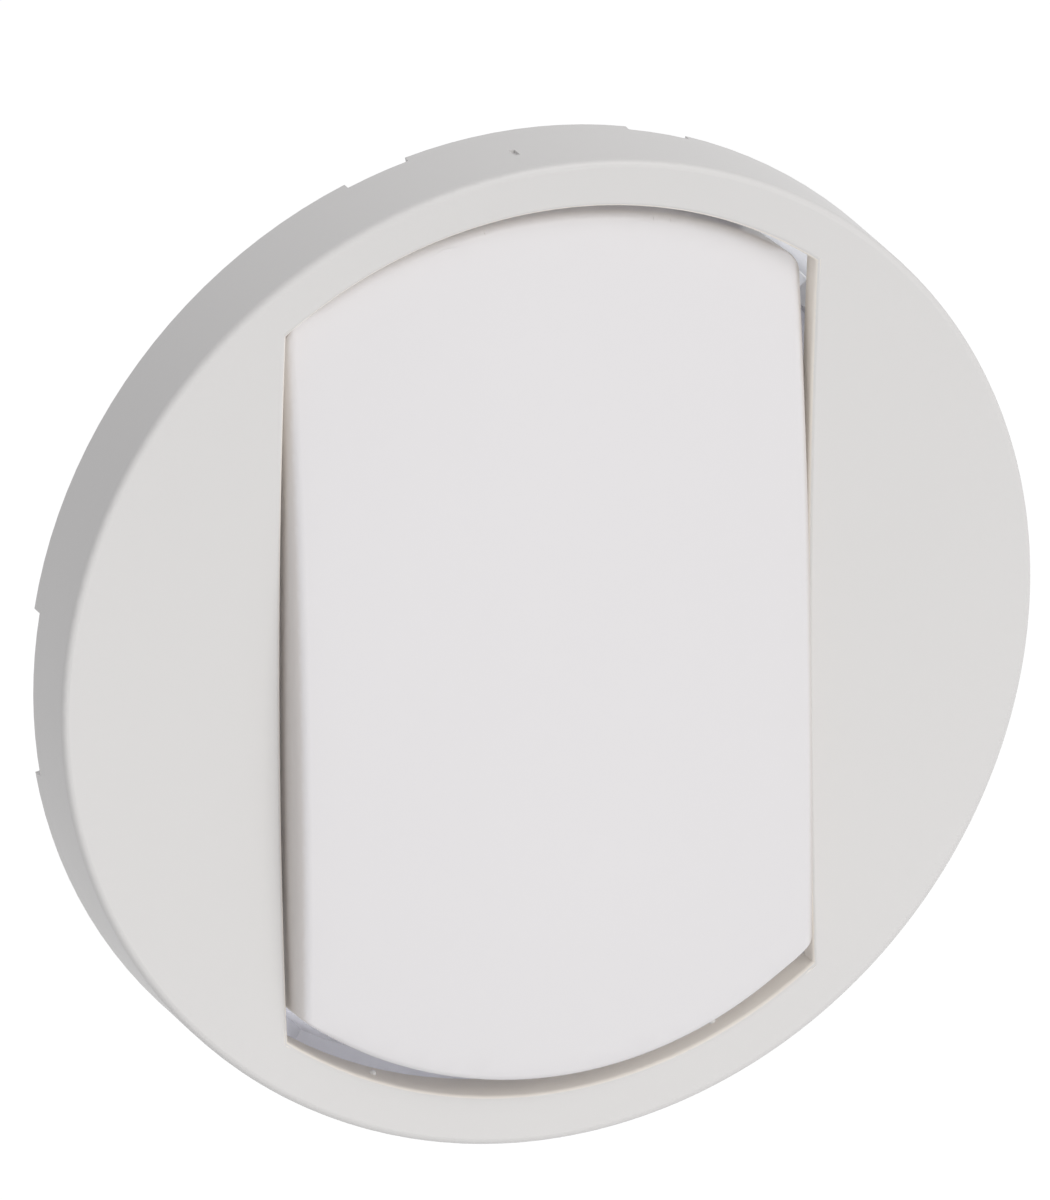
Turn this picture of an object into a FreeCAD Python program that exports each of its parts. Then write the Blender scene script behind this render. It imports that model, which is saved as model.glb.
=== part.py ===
"""Round push-button light switch: a dished trim ring, a crowned rocking key and a sprung contact.

Millimetres. X runs to the right, Z up and Y into the wall, so the front faces -Y. The origin is the centre
of the trim ring's rear edge, which lies in the plane Y = 0. The key is drawn level in a frame of its own on
the pivot axis and is then tilted to its rest position, upper end pressed in.
"""

import FreeCAD
import Part
import Sketcher
import math
import os
from types import SimpleNamespace

SIZES = (
    ("ring_radius", 33.05, "trim ring: radius of the front outer edge"),
    ("ring_draft", 0.08, "trim ring: how much wider the rear edge is"),
    ("face_height", 4.67, "trim ring: height of the hollow face at its centre"),
    ("rim_crease", 4.2, "trim ring: height of the crease where the rim starts to taper"),
    ("rim_taper", 0.06, "trim ring: taper of the rim in front of the crease"),
    ("rim_round", 0.4, "trim ring: rounding of the front outer edge"),
    ("hollow_across", 425.0, "trim ring: radius of the hollow face from side to side"),
    ("hollow_along", 245.0, "trim ring: radius of the hollow face from top to bottom"),
    ("ring_wall", 1.6, "trim ring: thickness of the rim"),
    ("face_wall", 1.5, "trim ring: thickness of the face"),
    ("land_back", 3.2, "trim ring: height of the back of the lands at the ends of the window"),
    ("window_half", 18.0, "window: half of the width between its upright sides"),
    ("window_radius", 29.9, "window: radius of its upper and lower arcs"),
    ("window_round", 0.3, "window: rounding of its front edge"),
    ("notch_depth", 0.6, "rear edge: depth of the small notches"),
    ("notch_land", 0.8, "rear edge: width of the land left inside the notches"),
    ("notch_angle", 7.4, "rear edge: angle taken by a small notch"),
    ("notch_offset", 16.8, "rear edge: angle from the upright axis to a small notch"),
    ("pry_angle", 19.2, "rear edge: angle taken by a side notch for prying the ring off"),
    ("pry_depth", 0.9, "rear edge: depth of the side notches"),
    ("mark_across", -1.6, "upper mark on the rim: place from side to side"),
    ("mark_width", 0.4, "upper mark on the rim: width"),
    ("mark_length", 0.9, "upper mark on the rim: length"),
    ("mark_depth", 0.2, "upper mark on the rim: depth"),
    ("leg_angle", 35.0, "ring legs: angle from the level axis"),
    ("leg_spread", 6.0, "ring legs: half of the angle taken by a leg"),
    ("leg_inner", 27.0, "ring legs: radius of the inner face"),
    ("leg_wall", 1.4, "ring legs: thickness"),
    ("leg_hook", 0.6, "ring legs: how far the hook reaches behind the frame"),
    ("hook_height", 1.2, "hooks: height"),
    ("side_gap", 0.32, "key: gap to each upright side of the window"),
    ("end_gap", 1.55, "key: gap to the ends of the window"),
    ("end_shift", 0.7, "key: shift of the centre of each end arc"),
    ("key_height", 7.85, "key: height of the middle of the face above the pivot axis"),
    ("key_skirt", 0.7, "key: depth of the skirt behind the pivot axis"),
    ("key_wall", 1.5, "key: wall thickness"),
    ("key_corner", 1.15, "key: rounding of the upright corners"),
    ("corner_turn", 24.0, "key: angle between a rounded corner and the upright side"),
    ("key_round", 1.0, "key: rounding of the long front edges"),
    ("end_round", 0.2, "key: rounding of the edges round its ends"),
    ("key_drop", 0.28, "key: drop of its middle below the pivot axis"),
    ("crown_across", 161.0, "key: crown radius from side to side"),
    ("crown_along", 333.0, "key: crown radius from end to end"),
    ("key_tilt", 3.2, "key: tilt at rest and when pressed, in degrees"),
    ("pivot_depth", 0.0, "pivot axis: depth behind the rear edge plane"),
    ("trunnion_radius", 1.2, "trunnions: radius"),
    ("trunnion_fit", 0.05, "trunnions: radial clearance"),
    ("rocker_half", 10.0, "actuator: half width"),
    ("rocker_reach", 16.0, "actuator: half length"),
    ("rocker_front", 4.2, "actuator: front face above the pivot axis"),
    ("rocker_wall", 1.6, "actuator: plate thickness"),
    ("cheek_wall", 2.0, "actuator: thickness of the cheeks that carry the trunnions"),
    ("cheek_radius", 2.2, "actuator: radius of the cheeks"),
    ("clip_across", 7.0, "key clips: distance from the middle"),
    ("clip_up", 12.2, "key clips: distance above and below the pivot axis"),
    ("clip_width", 4.0, "key clips: width"),
    ("clip_wall", 1.2, "key clips: thickness"),
    ("clip_hook", 0.7, "key clips: reach of the hook"),
    ("clip_gap", 0.15, "key clips: gap in their slots"),
    ("rib_across", 3.4, "seat ribs of the key: distance from the middle"),
    ("rib_wall", 1.2, "seat ribs of the key: thickness"),
    ("rib_reach", 9.0, "seat ribs of the key: half length"),
    ("push_arm", 11.0, "pusher: distance below the pivot axis"),
    ("push_radius", 1.2, "pusher: radius of the rounded tip"),
    ("push_half", 2.5, "pusher: half width"),
    ("push_drop", 0.1, "pusher: height of the tip centre above the pivot axis"),
    ("touch_gap", 0.05, "clearance between parts that push on each other"),
    ("collar_gap", 0.4, "front frame: gap from the collar to the rim of the ring"),
    ("collar_wall", 1.6, "front frame: thickness of the collar"),
    ("collar_front", 1.3, "front frame: height of the collar in front of the rear edge plane"),
    ("collar_root", 0.6, "front frame: depth that the collar shares with the plate"),
    ("plate_rebate", 0.9, "front frame: how much smaller the plate is than the collar"),
    ("frame_front", 2.8, "front frame: depth of the front face behind the rear edge plane"),
    ("frame_wall", 2.0, "front frame: plate thickness"),
    ("frame_gap", 0.15, "front frame: gap to the ring legs and the base"),
    ("bay_offset", 6.0, "leg bays: angle from the leg to the middle of the bay"),
    ("bay_spread", 18.0, "leg bays: half of the angle that is open"),
    ("seat_gap", 0.6, "seat ring: gap to the hooks of the ring legs"),
    ("seat_width", 2.2, "seat ring: width of the face that lies on the support plate"),
    ("seat_height", 0.4, "seat ring: height above the back of the frame"),
    ("post_gap", 0.25, "bearing posts: gap to the cheeks"),
    ("post_wall", 2.4, "bearing posts: thickness"),
    ("post_radius", 1.95, "bearing posts: radius around the axis"),
    ("stop_across", 6.0, "stop pads: distance from the middle"),
    ("stop_width", 3.0, "stop pads: width"),
    ("stop_length", 1.4, "stop pads: overlap with the end of the actuator"),
    ("arm_half", 5.0, "frame arms: half width"),
    ("arm_wall", 1.4, "frame arms: thickness"),
    ("arm_length", 6.2, "frame arms: length"),
    ("eye_half", 3.1, "frame arms: half width of the eye"),
    ("eye_start", 2.6, "frame arms: distance from the frame to the eye"),
    ("eye_length", 2.2, "frame arms: length of the eye"),
    ("base_half", 18.0, "base: half width"),
    ("corner_gap", 0.32, "base: room between the cut corners and the terminal bars"),
    ("base_depth", 13.0, "base: depth behind the frame"),
    ("base_wall", 1.4, "base: wall and floor thickness"),
    ("plate_grip", 2.0, "side latches: thickness of the support plate they hold"),
    ("latch_half", 4.0, "side latches: half width"),
    ("latch_reach", 1.3, "side latches: how far they stand out"),
    ("latch_length", 4.0, "side latches: length of the slope"),
    ("latch_slot", 0.8, "side latches: width of the slots that free the tongue"),
    ("pin_radius", 2.0, "plunger: radius of the pin"),
    ("pin_fit", 0.05, "plunger: radial clearance in its guide"),
    ("flange_radius", 3.4, "plunger: radius of the flange"),
    ("flange_gap", 0.7, "plunger: gap from the frame to the flange at rest"),
    ("flange_height", 1.0, "plunger: height of the flange"),
    ("stem_radius", 1.5, "plunger: radius of the stem"),
    ("stem_groove", 0.3, "plunger: depth of the groove for the clip"),
    ("stem_tail", 1.8, "plunger: length of the stem behind the clip"),
    ("clip_radius", 2.8, "bridge clip: outer radius"),
    ("clip_height", 0.6, "bridge clip: thickness"),
    ("clip_mouth", 1.8, "bridge clip: width of its mouth"),
    ("bridge_half", 9.0, "contact bridge: half length"),
    ("bridge_width", 4.0, "contact bridge: width"),
    ("sheet_wall", 0.8, "contact bridge and terminal bars: sheet thickness"),
    ("spring_room", 2.8, "contact spring: height"),
    ("tip_across", 6.8, "contact tips: distance from the middle"),
    ("tip_radius", 1.3, "contact tips: radius"),
    ("tip_height", 0.5, "contact tips: height"),
    ("tip_round", 0.2, "contact tips: rounding"),
    ("close_gap", 0.04, "contact tips: gap left with the key pressed"),
    ("coil_radius", 2.25, "springs: mean radius of the coils"),
    ("coil_wire", 0.2, "springs: radius of the wire"),
    ("contact_pitch", 0.95, "contact spring: pitch"),
    ("return_pitch", 1.55, "return spring: pitch"),
    ("boss_radius", 1.6, "return spring seat: radius"),
    ("boss_height", 2.2, "return spring seat: height"),
    ("bar_inner", 4.6, "terminal bars: inner end of the contact leg"),
    ("bar_gap", 0.9, "terminal bars: gap to the side wall of the base"),
    ("web_front", 7.0, "terminal bars: depth of the front edge of the side web"),
    ("tab_inner", 2.4, "terminal bars: inner end of the clamp tab"),
    ("tab_level", 10.3, "terminal bars: level of the clamp tab"),
    ("tab_front", 5.5, "terminal bars: depth of the front edge of the clamp tab"),
    ("tab_back", 13.4, "terminal bars: depth of the rear edge of the clamp tab"),
    ("wire_inner", 5.6, "wire entries: inner one, distance from the middle"),
    ("wire_gap", 3.5, "wire entries: distance from the outer one to the side web of the bar"),
    ("wire_level", 8.6, "wire entries: level"),
    ("wire_radius", 1.4, "wire entries: radius"),
    ("wire_funnel", 0.25, "wire entries: chamfer of the mouth"),
    ("guide_side", 3.0, "wire guides: distance from an entry to the end of the guide"),
    ("guide_half", 1.75, "wire guides: half height"),
    ("guide_depth", 4.2, "wire guides: depth"),
    ("guide_lip", 0.4, "wire guides: width of the lip inside the base"),
    ("guide_fit", 0.1, "wire guides: gap in the base"),
    ("strip_half", 1.8, "clamp springs: half width"),
    ("strip_wall", 0.4, "clamp springs: sheet thickness"),
    ("strip_level", -1.7, "clamp springs: level of the fixed leg"),
    ("strip_front", 6.0, "clamp springs: depth of the end of the fixed leg"),
    ("strip_turn", 12.5, "clamp springs: depth of the centre of the bend"),
    ("strip_bend", 1.8, "clamp springs: outer radius of the bend"),
    ("strip_lean", 54.3, "clamp springs: lean of the clamping leg, in degrees"),
    ("strip_length", 10.8, "clamp springs: length of the clamping leg"),
    ("shelf_wall", 1.6, "shelf under the clamp springs: thickness"),
    ("shelf_gap", 0.05, "shelf under the clamp springs: gap"),
    ("rib_half", 0.6, "partition between the poles: half thickness"),
    ("partition_top", 12.6, "partition between the poles: upper end"),
    ("button_level", 4.9, "release buttons: level"),
    ("button_half", 2.5, "release buttons: half width"),
    ("button_rise", 1.2, "release buttons: half height"),
    ("button_proud", 1.2, "release buttons: how far they stand out of the base"),
    ("button_travel", 1.2, "release buttons: travel"),
    ("button_front", 13.45, "release buttons: depth of the inner end"),
    ("button_ear", 0.7, "release buttons: width of the ears inside the base"),
    ("button_fit", 0.1, "release buttons: gap in the base"),
    ("slit_half", 1.5, "release buttons: half length of the screwdriver slit"),
    ("slit_width", 0.7, "release buttons: width of the screwdriver slit"),
    ("slit_depth", 0.5, "release buttons: depth of the screwdriver slit"),
)


class Size:
    """A number that keeps the sheet formula it comes from."""

    def __init__(self, value, formula):
        self.value = value
        self.formula = formula

    def __add__(self, other):
        other = sized(other)
        return Size(self.value + other.value, f"({self.formula} + {other.formula})")

    def __radd__(self, other):
        return sized(other) + self

    def __sub__(self, other):
        other = sized(other)
        return Size(self.value - other.value, f"({self.formula} - {other.formula})")

    def __rsub__(self, other):
        return sized(other) - self

    def __mul__(self, other):
        other = sized(other)
        return Size(self.value * other.value, f"({self.formula} * {other.formula})")

    def __rmul__(self, other):
        return sized(other) * self

    def __truediv__(self, other):
        other = sized(other)
        return Size(self.value / other.value, f"({self.formula} / {other.formula})")

    def __neg__(self):
        return Size(-self.value, f"(0 - {self.formula})")


def sized(number):
    """A plain number as a Size."""
    if isinstance(number, Size):
        return number
    return Size(float(number), f"({float(number)})")


def root(size):
    return Size(math.sqrt(size.value), f"sqrt({size.formula})")


def sine(angle):
    return Size(math.sin(math.radians(angle.value)), f"sin({angle.formula} * 1 deg)")


def cosine(angle):
    return Size(math.cos(math.radians(angle.value)), f"cos({angle.formula} * 1 deg)")


def polar(radius, angle):
    """The point at a radius and an angle, which starts at the first axis of the sketch."""
    return radius * cosine(angle), radius * sine(angle)


def write_sheet(sheet):
    """Put the driving sizes into the sheet and return them by name."""
    sizes = {}
    for row, (name, value, note) in enumerate(SIZES, 1):
        sheet.set(f"A{row}", note)
        sheet.set(f"B{row}", str(value))
        sheet.setAlias(f"B{row}", name)
        sizes[name] = Size(value, f"Sizes.{name}")
    return SimpleNamespace(**sizes)


DOC = FreeCAD.newDocument("PushButtonSwitch")
SIZE = write_sheet(DOC.addObject("Spreadsheet::Sheet", "Sizes"))
DOC.recompute()
NODES = []


def bind(owner, path, size):
    owner.setExpression(path, sized(size).formula)


def keep(node):
    """List an object as a finished piece of the switch."""
    NODES.append(node)
    return node


class Around:
    """Marks the side of an outline that starts at a corner as an arc around a centre."""

    def __init__(self, across, up, leftward=True):
        self.across = sized(across)
        self.up = sized(up)
        self.leftward = leftward

    def curve(self, start, end):
        centre = FreeCAD.Vector(self.across.value, self.up.value)
        if not self.leftward:
            start, end = end, start
        angles = []
        for point in (start, end):
            angles.append(math.atan2(point.y - centre.y, point.x - centre.x))
        if angles[1] <= angles[0]:
            angles[1] += 2 * math.pi
        circle = Part.Circle(centre, FreeCAD.Vector(0, 0, 1), (start - centre).Length)
        return Part.ArcOfCircle(circle, *angles)


def fix(sketch, kind, curve, vertex, size):
    """Hold one coordinate of a sketch point at a size."""
    index = sketch.addConstraint(Sketcher.Constraint(kind, -1, 1, curve, vertex, size.value))
    bind(sketch, f"Constraints[{index}]", size)


def outline(*corners):
    """A closed outline through corners, each (across, up) or (across, up, Around)."""

    def draw(sketch):
        points = [(sized(corner[0]), sized(corner[1])) for corner in corners]
        places = [FreeCAD.Vector(across.value, up.value) for across, up in points]
        curves = []
        for number, corner in enumerate(corners):
            start = places[number]
            end = places[(number + 1) % len(places)]
            if len(corner) > 2:
                curves.append((sketch.addGeometry(corner[2].curve(start, end)), corner[2]))
            else:
                curves.append((sketch.addGeometry(Part.LineSegment(start, end)), None))
        for number, (curve, bend) in enumerate(curves):
            first, last = (1, 2) if bend is None or bend.leftward else (2, 1)
            after, next_bend = curves[(number + 1) % len(curves)]
            next_first = 1 if next_bend is None or next_bend.leftward else 2
            sketch.addConstraint(Sketcher.Constraint("Coincident", curve, last, after, next_first))
            fix(sketch, "DistanceX", curve, first, points[number][0])
            fix(sketch, "DistanceY", curve, first, points[number][1])
            if bend:
                chord = places[(number + 1) % len(places)] - places[number]
                if abs(chord.y) > abs(chord.x):
                    fix(sketch, "DistanceX", curve, 3, bend.across)
                else:
                    fix(sketch, "DistanceY", curve, 3, bend.up)

    return draw


def rectangle(left, right, low, high):
    return outline((left, low), (right, low), (right, high), (left, high))


def circle(across, up, radius):
    """A circle with its centre held and its radius bound."""

    def draw(sketch):
        centre = FreeCAD.Vector(sized(across).value, sized(up).value)
        curve = sketch.addGeometry(Part.Circle(centre, FreeCAD.Vector(0, 0, 1), radius.value))
        fix(sketch, "DistanceX", curve, 3, sized(across))
        fix(sketch, "DistanceY", curve, 3, sized(up))
        index = sketch.addConstraint(Sketcher.Constraint("Radius", curve, radius.value))
        bind(sketch, f"Constraints[{index}]", radius)

    return draw


def lens(half, radius, shift, drop):
    """Two upright sides joined by two arcs, whose centres are shifted apart and dropped together."""
    rise = shift + root(radius * radius - half * half)
    return outline(
        (half, -rise - drop),
        (half, rise - drop, Around(0, shift - drop)),
        (-half, rise - drop),
        (-half, -rise - drop, Around(0, -shift - drop)),
    )


def octagon(half, flat):
    """A square with cut corners, whose sides are flat up to a distance from their middle."""
    return outline(
        (half, -flat), (half, flat), (flat, half), (-flat, half),
        (-half, flat), (-half, -flat), (-flat, -half), (flat, -half),
    )


def sector(inner, outer, angle, spread):
    """A four-cornered piece of a ring, spread to both sides of an angle."""
    return outline(
        polar(inner, angle - spread), polar(outer, angle - spread),
        polar(outer, angle + spread), polar(inner, angle + spread),
    )


def bay(inner, outer, angle, spread):
    """A piece of a ring that is round inside and open outside, spread to both sides of an angle."""
    beyond = outer / cosine(spread)
    return outline(
        polar(inner, angle - spread), polar(beyond, angle - spread), polar(beyond, angle + spread),
        (*polar(inner, angle + spread), Around(0, 0, leftward=False)),
    )


class Piece:
    """A body that grows by pads and turned profiles and is cut by pockets."""

    def __init__(self, name):
        self.body = DOC.addObject("PartDesign::Body", name)
        self.body.Label = name

    def sketch(self, name, role, offset, shapes):
        """A sketch on an origin plane of the body, moved along the plane's normal."""
        sketch = self.body.newObject("Sketcher::SketchObject", f"{self.body.Name}_{name}")
        plane = next(item for item in self.body.Origin.OriginFeatures if item.Role == role)
        sketch.AttachmentSupport = [(plane, "")]
        sketch.MapMode = "FlatFace"
        bind(sketch, "AttachmentOffset.Base.z", offset)
        for draw in shapes:
            draw(sketch)
        return sketch

    def feature(self, kind, name, sketch):
        feature = self.body.newObject(f"PartDesign::{kind}", f"{self.body.Name}_{name}_{kind.lower()}")
        feature.Profile = sketch
        return feature

    def add(self, name, front, back, *shapes):
        """Fill shapes drawn as seen from the front, between two depths."""
        sketch = self.sketch(name, "XZ_Plane", -sized(back), shapes)
        bind(self.feature("Pad", name, sketch), "Length", sized(back) - front)

    def cut(self, name, front, back, *shapes):
        """Cut shapes drawn as seen from the front, between two depths."""
        sketch = self.sketch(name, "XZ_Plane", -sized(front), shapes)
        bind(self.feature("Pocket", name, sketch), "Length", sized(back) - front)

    def add_across(self, name, left, right, *shapes):
        """Fill shapes drawn in depth and height, between two places from side to side."""
        sketch = self.sketch(name, "YZ_Plane", left, shapes)
        bind(self.feature("Pad", name, sketch), "Length", sized(right) - left)

    def cut_across(self, name, left, right, *shapes):
        """Cut shapes drawn in depth and height, between two places from side to side."""
        sketch = self.sketch(name, "YZ_Plane", right, shapes)
        bind(self.feature("Pocket", name, sketch), "Length", sized(right) - left)

    def turn(self, name, level, *shapes):
        """Turn a profile of radius and depth around an axis that runs in Y at a level."""
        sketch = self.sketch(name, "XY_Plane", level, shapes)
        feature = self.feature("Revolution", name, sketch)
        feature.ReferenceAxis = (sketch, ["V_Axis"])
        feature.Angle = 360

    def crown(self, height, across, along, half, hollow=False):
        """Take away all that stands in front of a face that is curved both ways, crowned or hollow."""
        sign = -1 if hollow else 1
        edge = sign * (across - root(across * across - half * half)) - height
        front = -2 * height
        profile = outline(
            (-half, edge, Around(0, sign * across - height, leftward=not hollow)),
            (half, edge),
            (half, front),
            (-half, front),
        )
        sketch = self.sketch("crown", "XY_Plane", 0, [profile])
        axis_depth = sign * along - height
        start = FreeCAD.Vector(-half.value, axis_depth.value)
        end = FreeCAD.Vector(half.value, axis_depth.value)
        axis = sketch.addGeometry(Part.LineSegment(start, end), True)
        for vertex, side in ((1, -half), (2, half)):
            fix(sketch, "DistanceX", axis, vertex, side)
            fix(sketch, "DistanceY", axis, vertex, axis_depth)
        groove = self.feature("Groove", "crown", sketch)
        groove.ReferenceAxis = (sketch, ["Axis0"])
        groove.Midplane = True
        groove.Angle = 24

    def curved_face(self):
        """The face that the crown left: the largest that is curved both ways."""
        DOC.recompute()
        plain = (Part.Plane, Part.Cylinder, Part.Cone)
        curved = [face for face in self.body.Tip.Shape.Faces if not isinstance(face.Surface, plain)]
        return max(curved, key=lambda face: face.Area)

    def soften(self, kind, size, chosen):
        """Round or chamfer the edges that a test picks."""
        DOC.recompute()
        base = self.body.Tip
        names = [f"Edge{number}" for number, edge in enumerate(base.Shape.Edges, 1) if chosen(edge)]
        feature = self.body.newObject(f"PartDesign::{kind}", f"{self.body.Name}_{kind.lower()}")
        feature.Base = (base, names)
        bind(feature, "Radius" if kind == "Fillet" else "Size", size)
        DOC.recompute()

    def hollow_out(self, cavity):
        """Cut another body out of this one."""
        feature = self.body.newObject("PartDesign::Boolean", f"{self.body.Name}_hollow")
        feature.Type = "Cut"
        feature.Group = [cavity.body]
        DOC.recompute()


def mirrored(source, name):
    """The same piece on the other side of the middle plane."""
    copy = DOC.addObject("Part::Mirroring", name)
    copy.Label = name
    copy.Source = source
    copy.Normal = FreeCAD.Vector(1, 0, 0)
    return copy


def grouped(name, *members):
    """Separate solids that belong to one node."""
    group = DOC.addObject("Part::Compound", name)
    group.Label = name
    group.Links = list(members)
    return group


def middle_of(edge):
    return edge.valueAt((edge.FirstParameter + edge.LastParameter) / 2)


def runs_in_depth(edge):
    """Is this a straight edge along Y?"""
    if not isinstance(edge.Curve, Part.Line):
        return False
    return abs(edge.Curve.Direction.y) > 0.999


PIVOT = SIZE.pivot_depth
RIM_INNER = SIZE.ring_radius - SIZE.ring_wall
FRAME_BACK = SIZE.frame_front + SIZE.frame_wall
SEAT_BACK = FRAME_BACK + SIZE.seat_height
BASE_BACK = FRAME_BACK + SIZE.base_depth
FLOOR = BASE_BACK - SIZE.base_wall
ROCKER_BACK = SIZE.rocker_wall - SIZE.rocker_front
TIP_CENTRE = -SIZE.push_drop
PLUNGER_LEVEL = -SIZE.push_arm
TRAVEL = 2 * SIZE.push_arm * sine(SIZE.key_tilt)
PIN_FRONT = (
    PIVOT
    + TIP_CENTRE * cosine(SIZE.key_tilt)
    - SIZE.push_arm * sine(SIZE.key_tilt)
    + SIZE.push_radius
    + SIZE.touch_gap
)
FLANGE_FRONT = FRAME_BACK + SIZE.flange_gap
FLANGE_BACK = FLANGE_FRONT + SIZE.flange_height
BRIDGE_FRONT = FLANGE_BACK + SIZE.spring_room
BRIDGE_BACK = BRIDGE_FRONT + SIZE.sheet_wall
CLIP_FRONT = BRIDGE_BACK + SIZE.touch_gap
CLIP_BACK = CLIP_FRONT + SIZE.clip_height
FIXED_TIP_FRONT = BRIDGE_BACK + SIZE.tip_height + TRAVEL + SIZE.close_gap
BAR_FRONT = FIXED_TIP_FRONT + SIZE.tip_height
BAR_BACK = BAR_FRONT + SIZE.sheet_wall
ARM_INNER = SIZE.base_half + SIZE.frame_gap
KEY_HALF = SIZE.window_half - SIZE.side_gap
KEY_END_RADIUS = SIZE.window_radius - SIZE.end_gap - SIZE.end_shift
BASE_INNER = SIZE.base_half - SIZE.base_wall
BASE_FLAT = SIZE.push_arm + SIZE.bridge_width / 2 - SIZE.bar_gap + SIZE.corner_gap
BAR_OUTER = BASE_INNER - SIZE.bar_gap
WIRE_OUTER = BAR_OUTER - SIZE.sheet_wall - SIZE.wire_gap
BUTTON_ACROSS = (SIZE.wire_inner + WIRE_OUTER) / 2
SHELF_TOP = SIZE.strip_level - SIZE.shelf_gap
SHELF_LOW = SHELF_TOP - SIZE.shelf_wall


def build_trim_ring():
    """The hollow-faced disc of even wall with a lens-shaped window, a notched rear edge and clip legs."""
    half_face = 1.1 * SIZE.ring_radius
    crest = 1.8 * SIZE.face_height
    cavity = Piece("ring_cavity")
    cavity.add("room", -crest, 0, circle(0, 0, RIM_INNER))
    cavity.crown(SIZE.face_height - SIZE.face_wall, SIZE.hollow_across + SIZE.face_wall,
                 SIZE.hollow_along + SIZE.face_wall, half_face, hollow=True)

    ring = Piece("trim_ring")
    rear = SIZE.ring_radius + SIZE.ring_draft
    crease = SIZE.ring_radius + SIZE.rim_taper
    ring.turn(
        "disc", 0,
        outline((rear, 0), (crease, -SIZE.rim_crease), (SIZE.ring_radius, -crest), (0, -crest), (0, 0)),
    )
    ring.crown(SIZE.face_height, SIZE.hollow_across, SIZE.hollow_along, half_face, hollow=True)
    ring.cut("window", -crest, 0, lens(SIZE.window_half, SIZE.window_radius, sized(0), sized(0)))

    def soften_face(radius, wanted):
        edges = ring.curved_face().Edges
        ring.soften("Fillet", radius,
                    lambda edge: wanted(edge) and any(edge.isSame(other) for other in edges))

    def on_rim(edge):
        point = middle_of(edge)
        return math.hypot(point.x, point.z) > SIZE.ring_radius.value - 2 * SIZE.window_round.value

    soften_face(SIZE.window_round, lambda edge: not on_rim(edge))
    soften_face(SIZE.rim_round, on_rim)
    ring.hollow_out(cavity)

    land_inner = root(SIZE.window_radius * SIZE.window_radius - SIZE.window_half * SIZE.window_half)
    buried = RIM_INNER + SIZE.ring_wall / 2
    land_outer = root(buried * buried - SIZE.window_half * SIZE.window_half)
    lands = []
    for half, end in ((SIZE.window_half, 1), (-SIZE.window_half, -1)):
        lands.append(outline(
            (half, end * land_inner, Around(0, 0)),
            (-half, end * land_inner),
            (-half, end * land_outer, Around(0, 0, leftward=False)),
            (half, end * land_outer),
        ))
    ring.add("lands", -SIZE.face_height - SIZE.face_wall / 2, -SIZE.land_back, *lands)

    notch_inner = RIM_INNER + SIZE.notch_land
    beyond = rear + SIZE.ring_wall
    half_notch = SIZE.notch_angle / 2
    half_pry = SIZE.pry_angle / 2
    ring.cut("side_notches", -SIZE.pry_depth, SIZE.pry_depth,
             *[sector(notch_inner, beyond, sized(side), half_pry) for side in (0, 180)])
    notches = []
    for quarter in (90, 270):
        notches.append(sector(notch_inner, beyond, quarter - SIZE.notch_offset, half_notch))
        notches.append(sector(notch_inner, beyond, quarter + SIZE.notch_offset, half_notch))
    ring.cut("notches", -SIZE.notch_depth, SIZE.notch_depth, *notches)
    mark_left = SIZE.mark_across - SIZE.mark_width / 2
    ring.cut("mark", -SIZE.rim_crease, SIZE.mark_length - SIZE.rim_crease,
             rectangle(mark_left, mark_left + SIZE.mark_width, crease - SIZE.mark_depth, beyond))

    leg_outer = SIZE.leg_inner + SIZE.leg_wall
    hook_inner = SIZE.leg_inner - SIZE.leg_hook
    hook_front = FRAME_BACK + SIZE.frame_gap
    hook_back = hook_front + SIZE.hook_height
    ring.add("legs", -SIZE.face_height, hook_back,
             *[sector(SIZE.leg_inner, leg_outer, angle, SIZE.leg_spread) for angle in leg_angles()])
    ring.add("hooks", hook_front, hook_back,
             *[sector(hook_inner, leg_outer, angle, SIZE.leg_spread) for angle in leg_angles()])
    keep(ring.body)


def leg_angles():
    return SIZE.leg_angle, 180 - SIZE.leg_angle, 180 + SIZE.leg_angle, 360 - SIZE.leg_angle


def tilt_to_rest(body):
    """Hang a body on the pivot axis and tip its upper end in."""
    body.Placement.Rotation = FreeCAD.Rotation(FreeCAD.Vector(1, 0, 0), -SIZE.key_tilt.value)
    bind(body, "Placement.Base.y", PIVOT)
    bind(body, "Placement.Rotation.Angle", SIZE.key_tilt)
    body.Placement.Rotation.Axis = FreeCAD.Vector(-1, 0, 0)


def key_end(end, reach):
    """What is cut off an end of the key: all beyond an arc and its two rounded corners."""
    corner = SIZE.key_corner
    across = KEY_HALF - corner * cosine(SIZE.corner_turn)
    inside = KEY_END_RADIUS - corner
    up = root(inside * inside - across * across)
    share = KEY_END_RADIUS / inside
    start = up + corner * sine(SIZE.corner_turn)
    outer = KEY_HALF + corner * sine(SIZE.corner_turn)
    low = start - corner * cosine(SIZE.corner_turn)

    def place(x, z):
        return end * x, end * (SIZE.end_shift + z) - SIZE.key_drop

    right = Around(*place(across, up))
    middle = Around(*place(0, sized(0)))
    left = Around(*place(-across, up))
    return outline(
        place(outer, low),
        (*place(KEY_HALF, start), right),
        (*place(across * share, up * share), middle),
        (*place(-across * share, up * share), left),
        place(-KEY_HALF, start),
        place(-outer, low),
        (-end * outer, end * 2 * reach),
        (end * outer, end * 2 * reach),
    )


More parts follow.
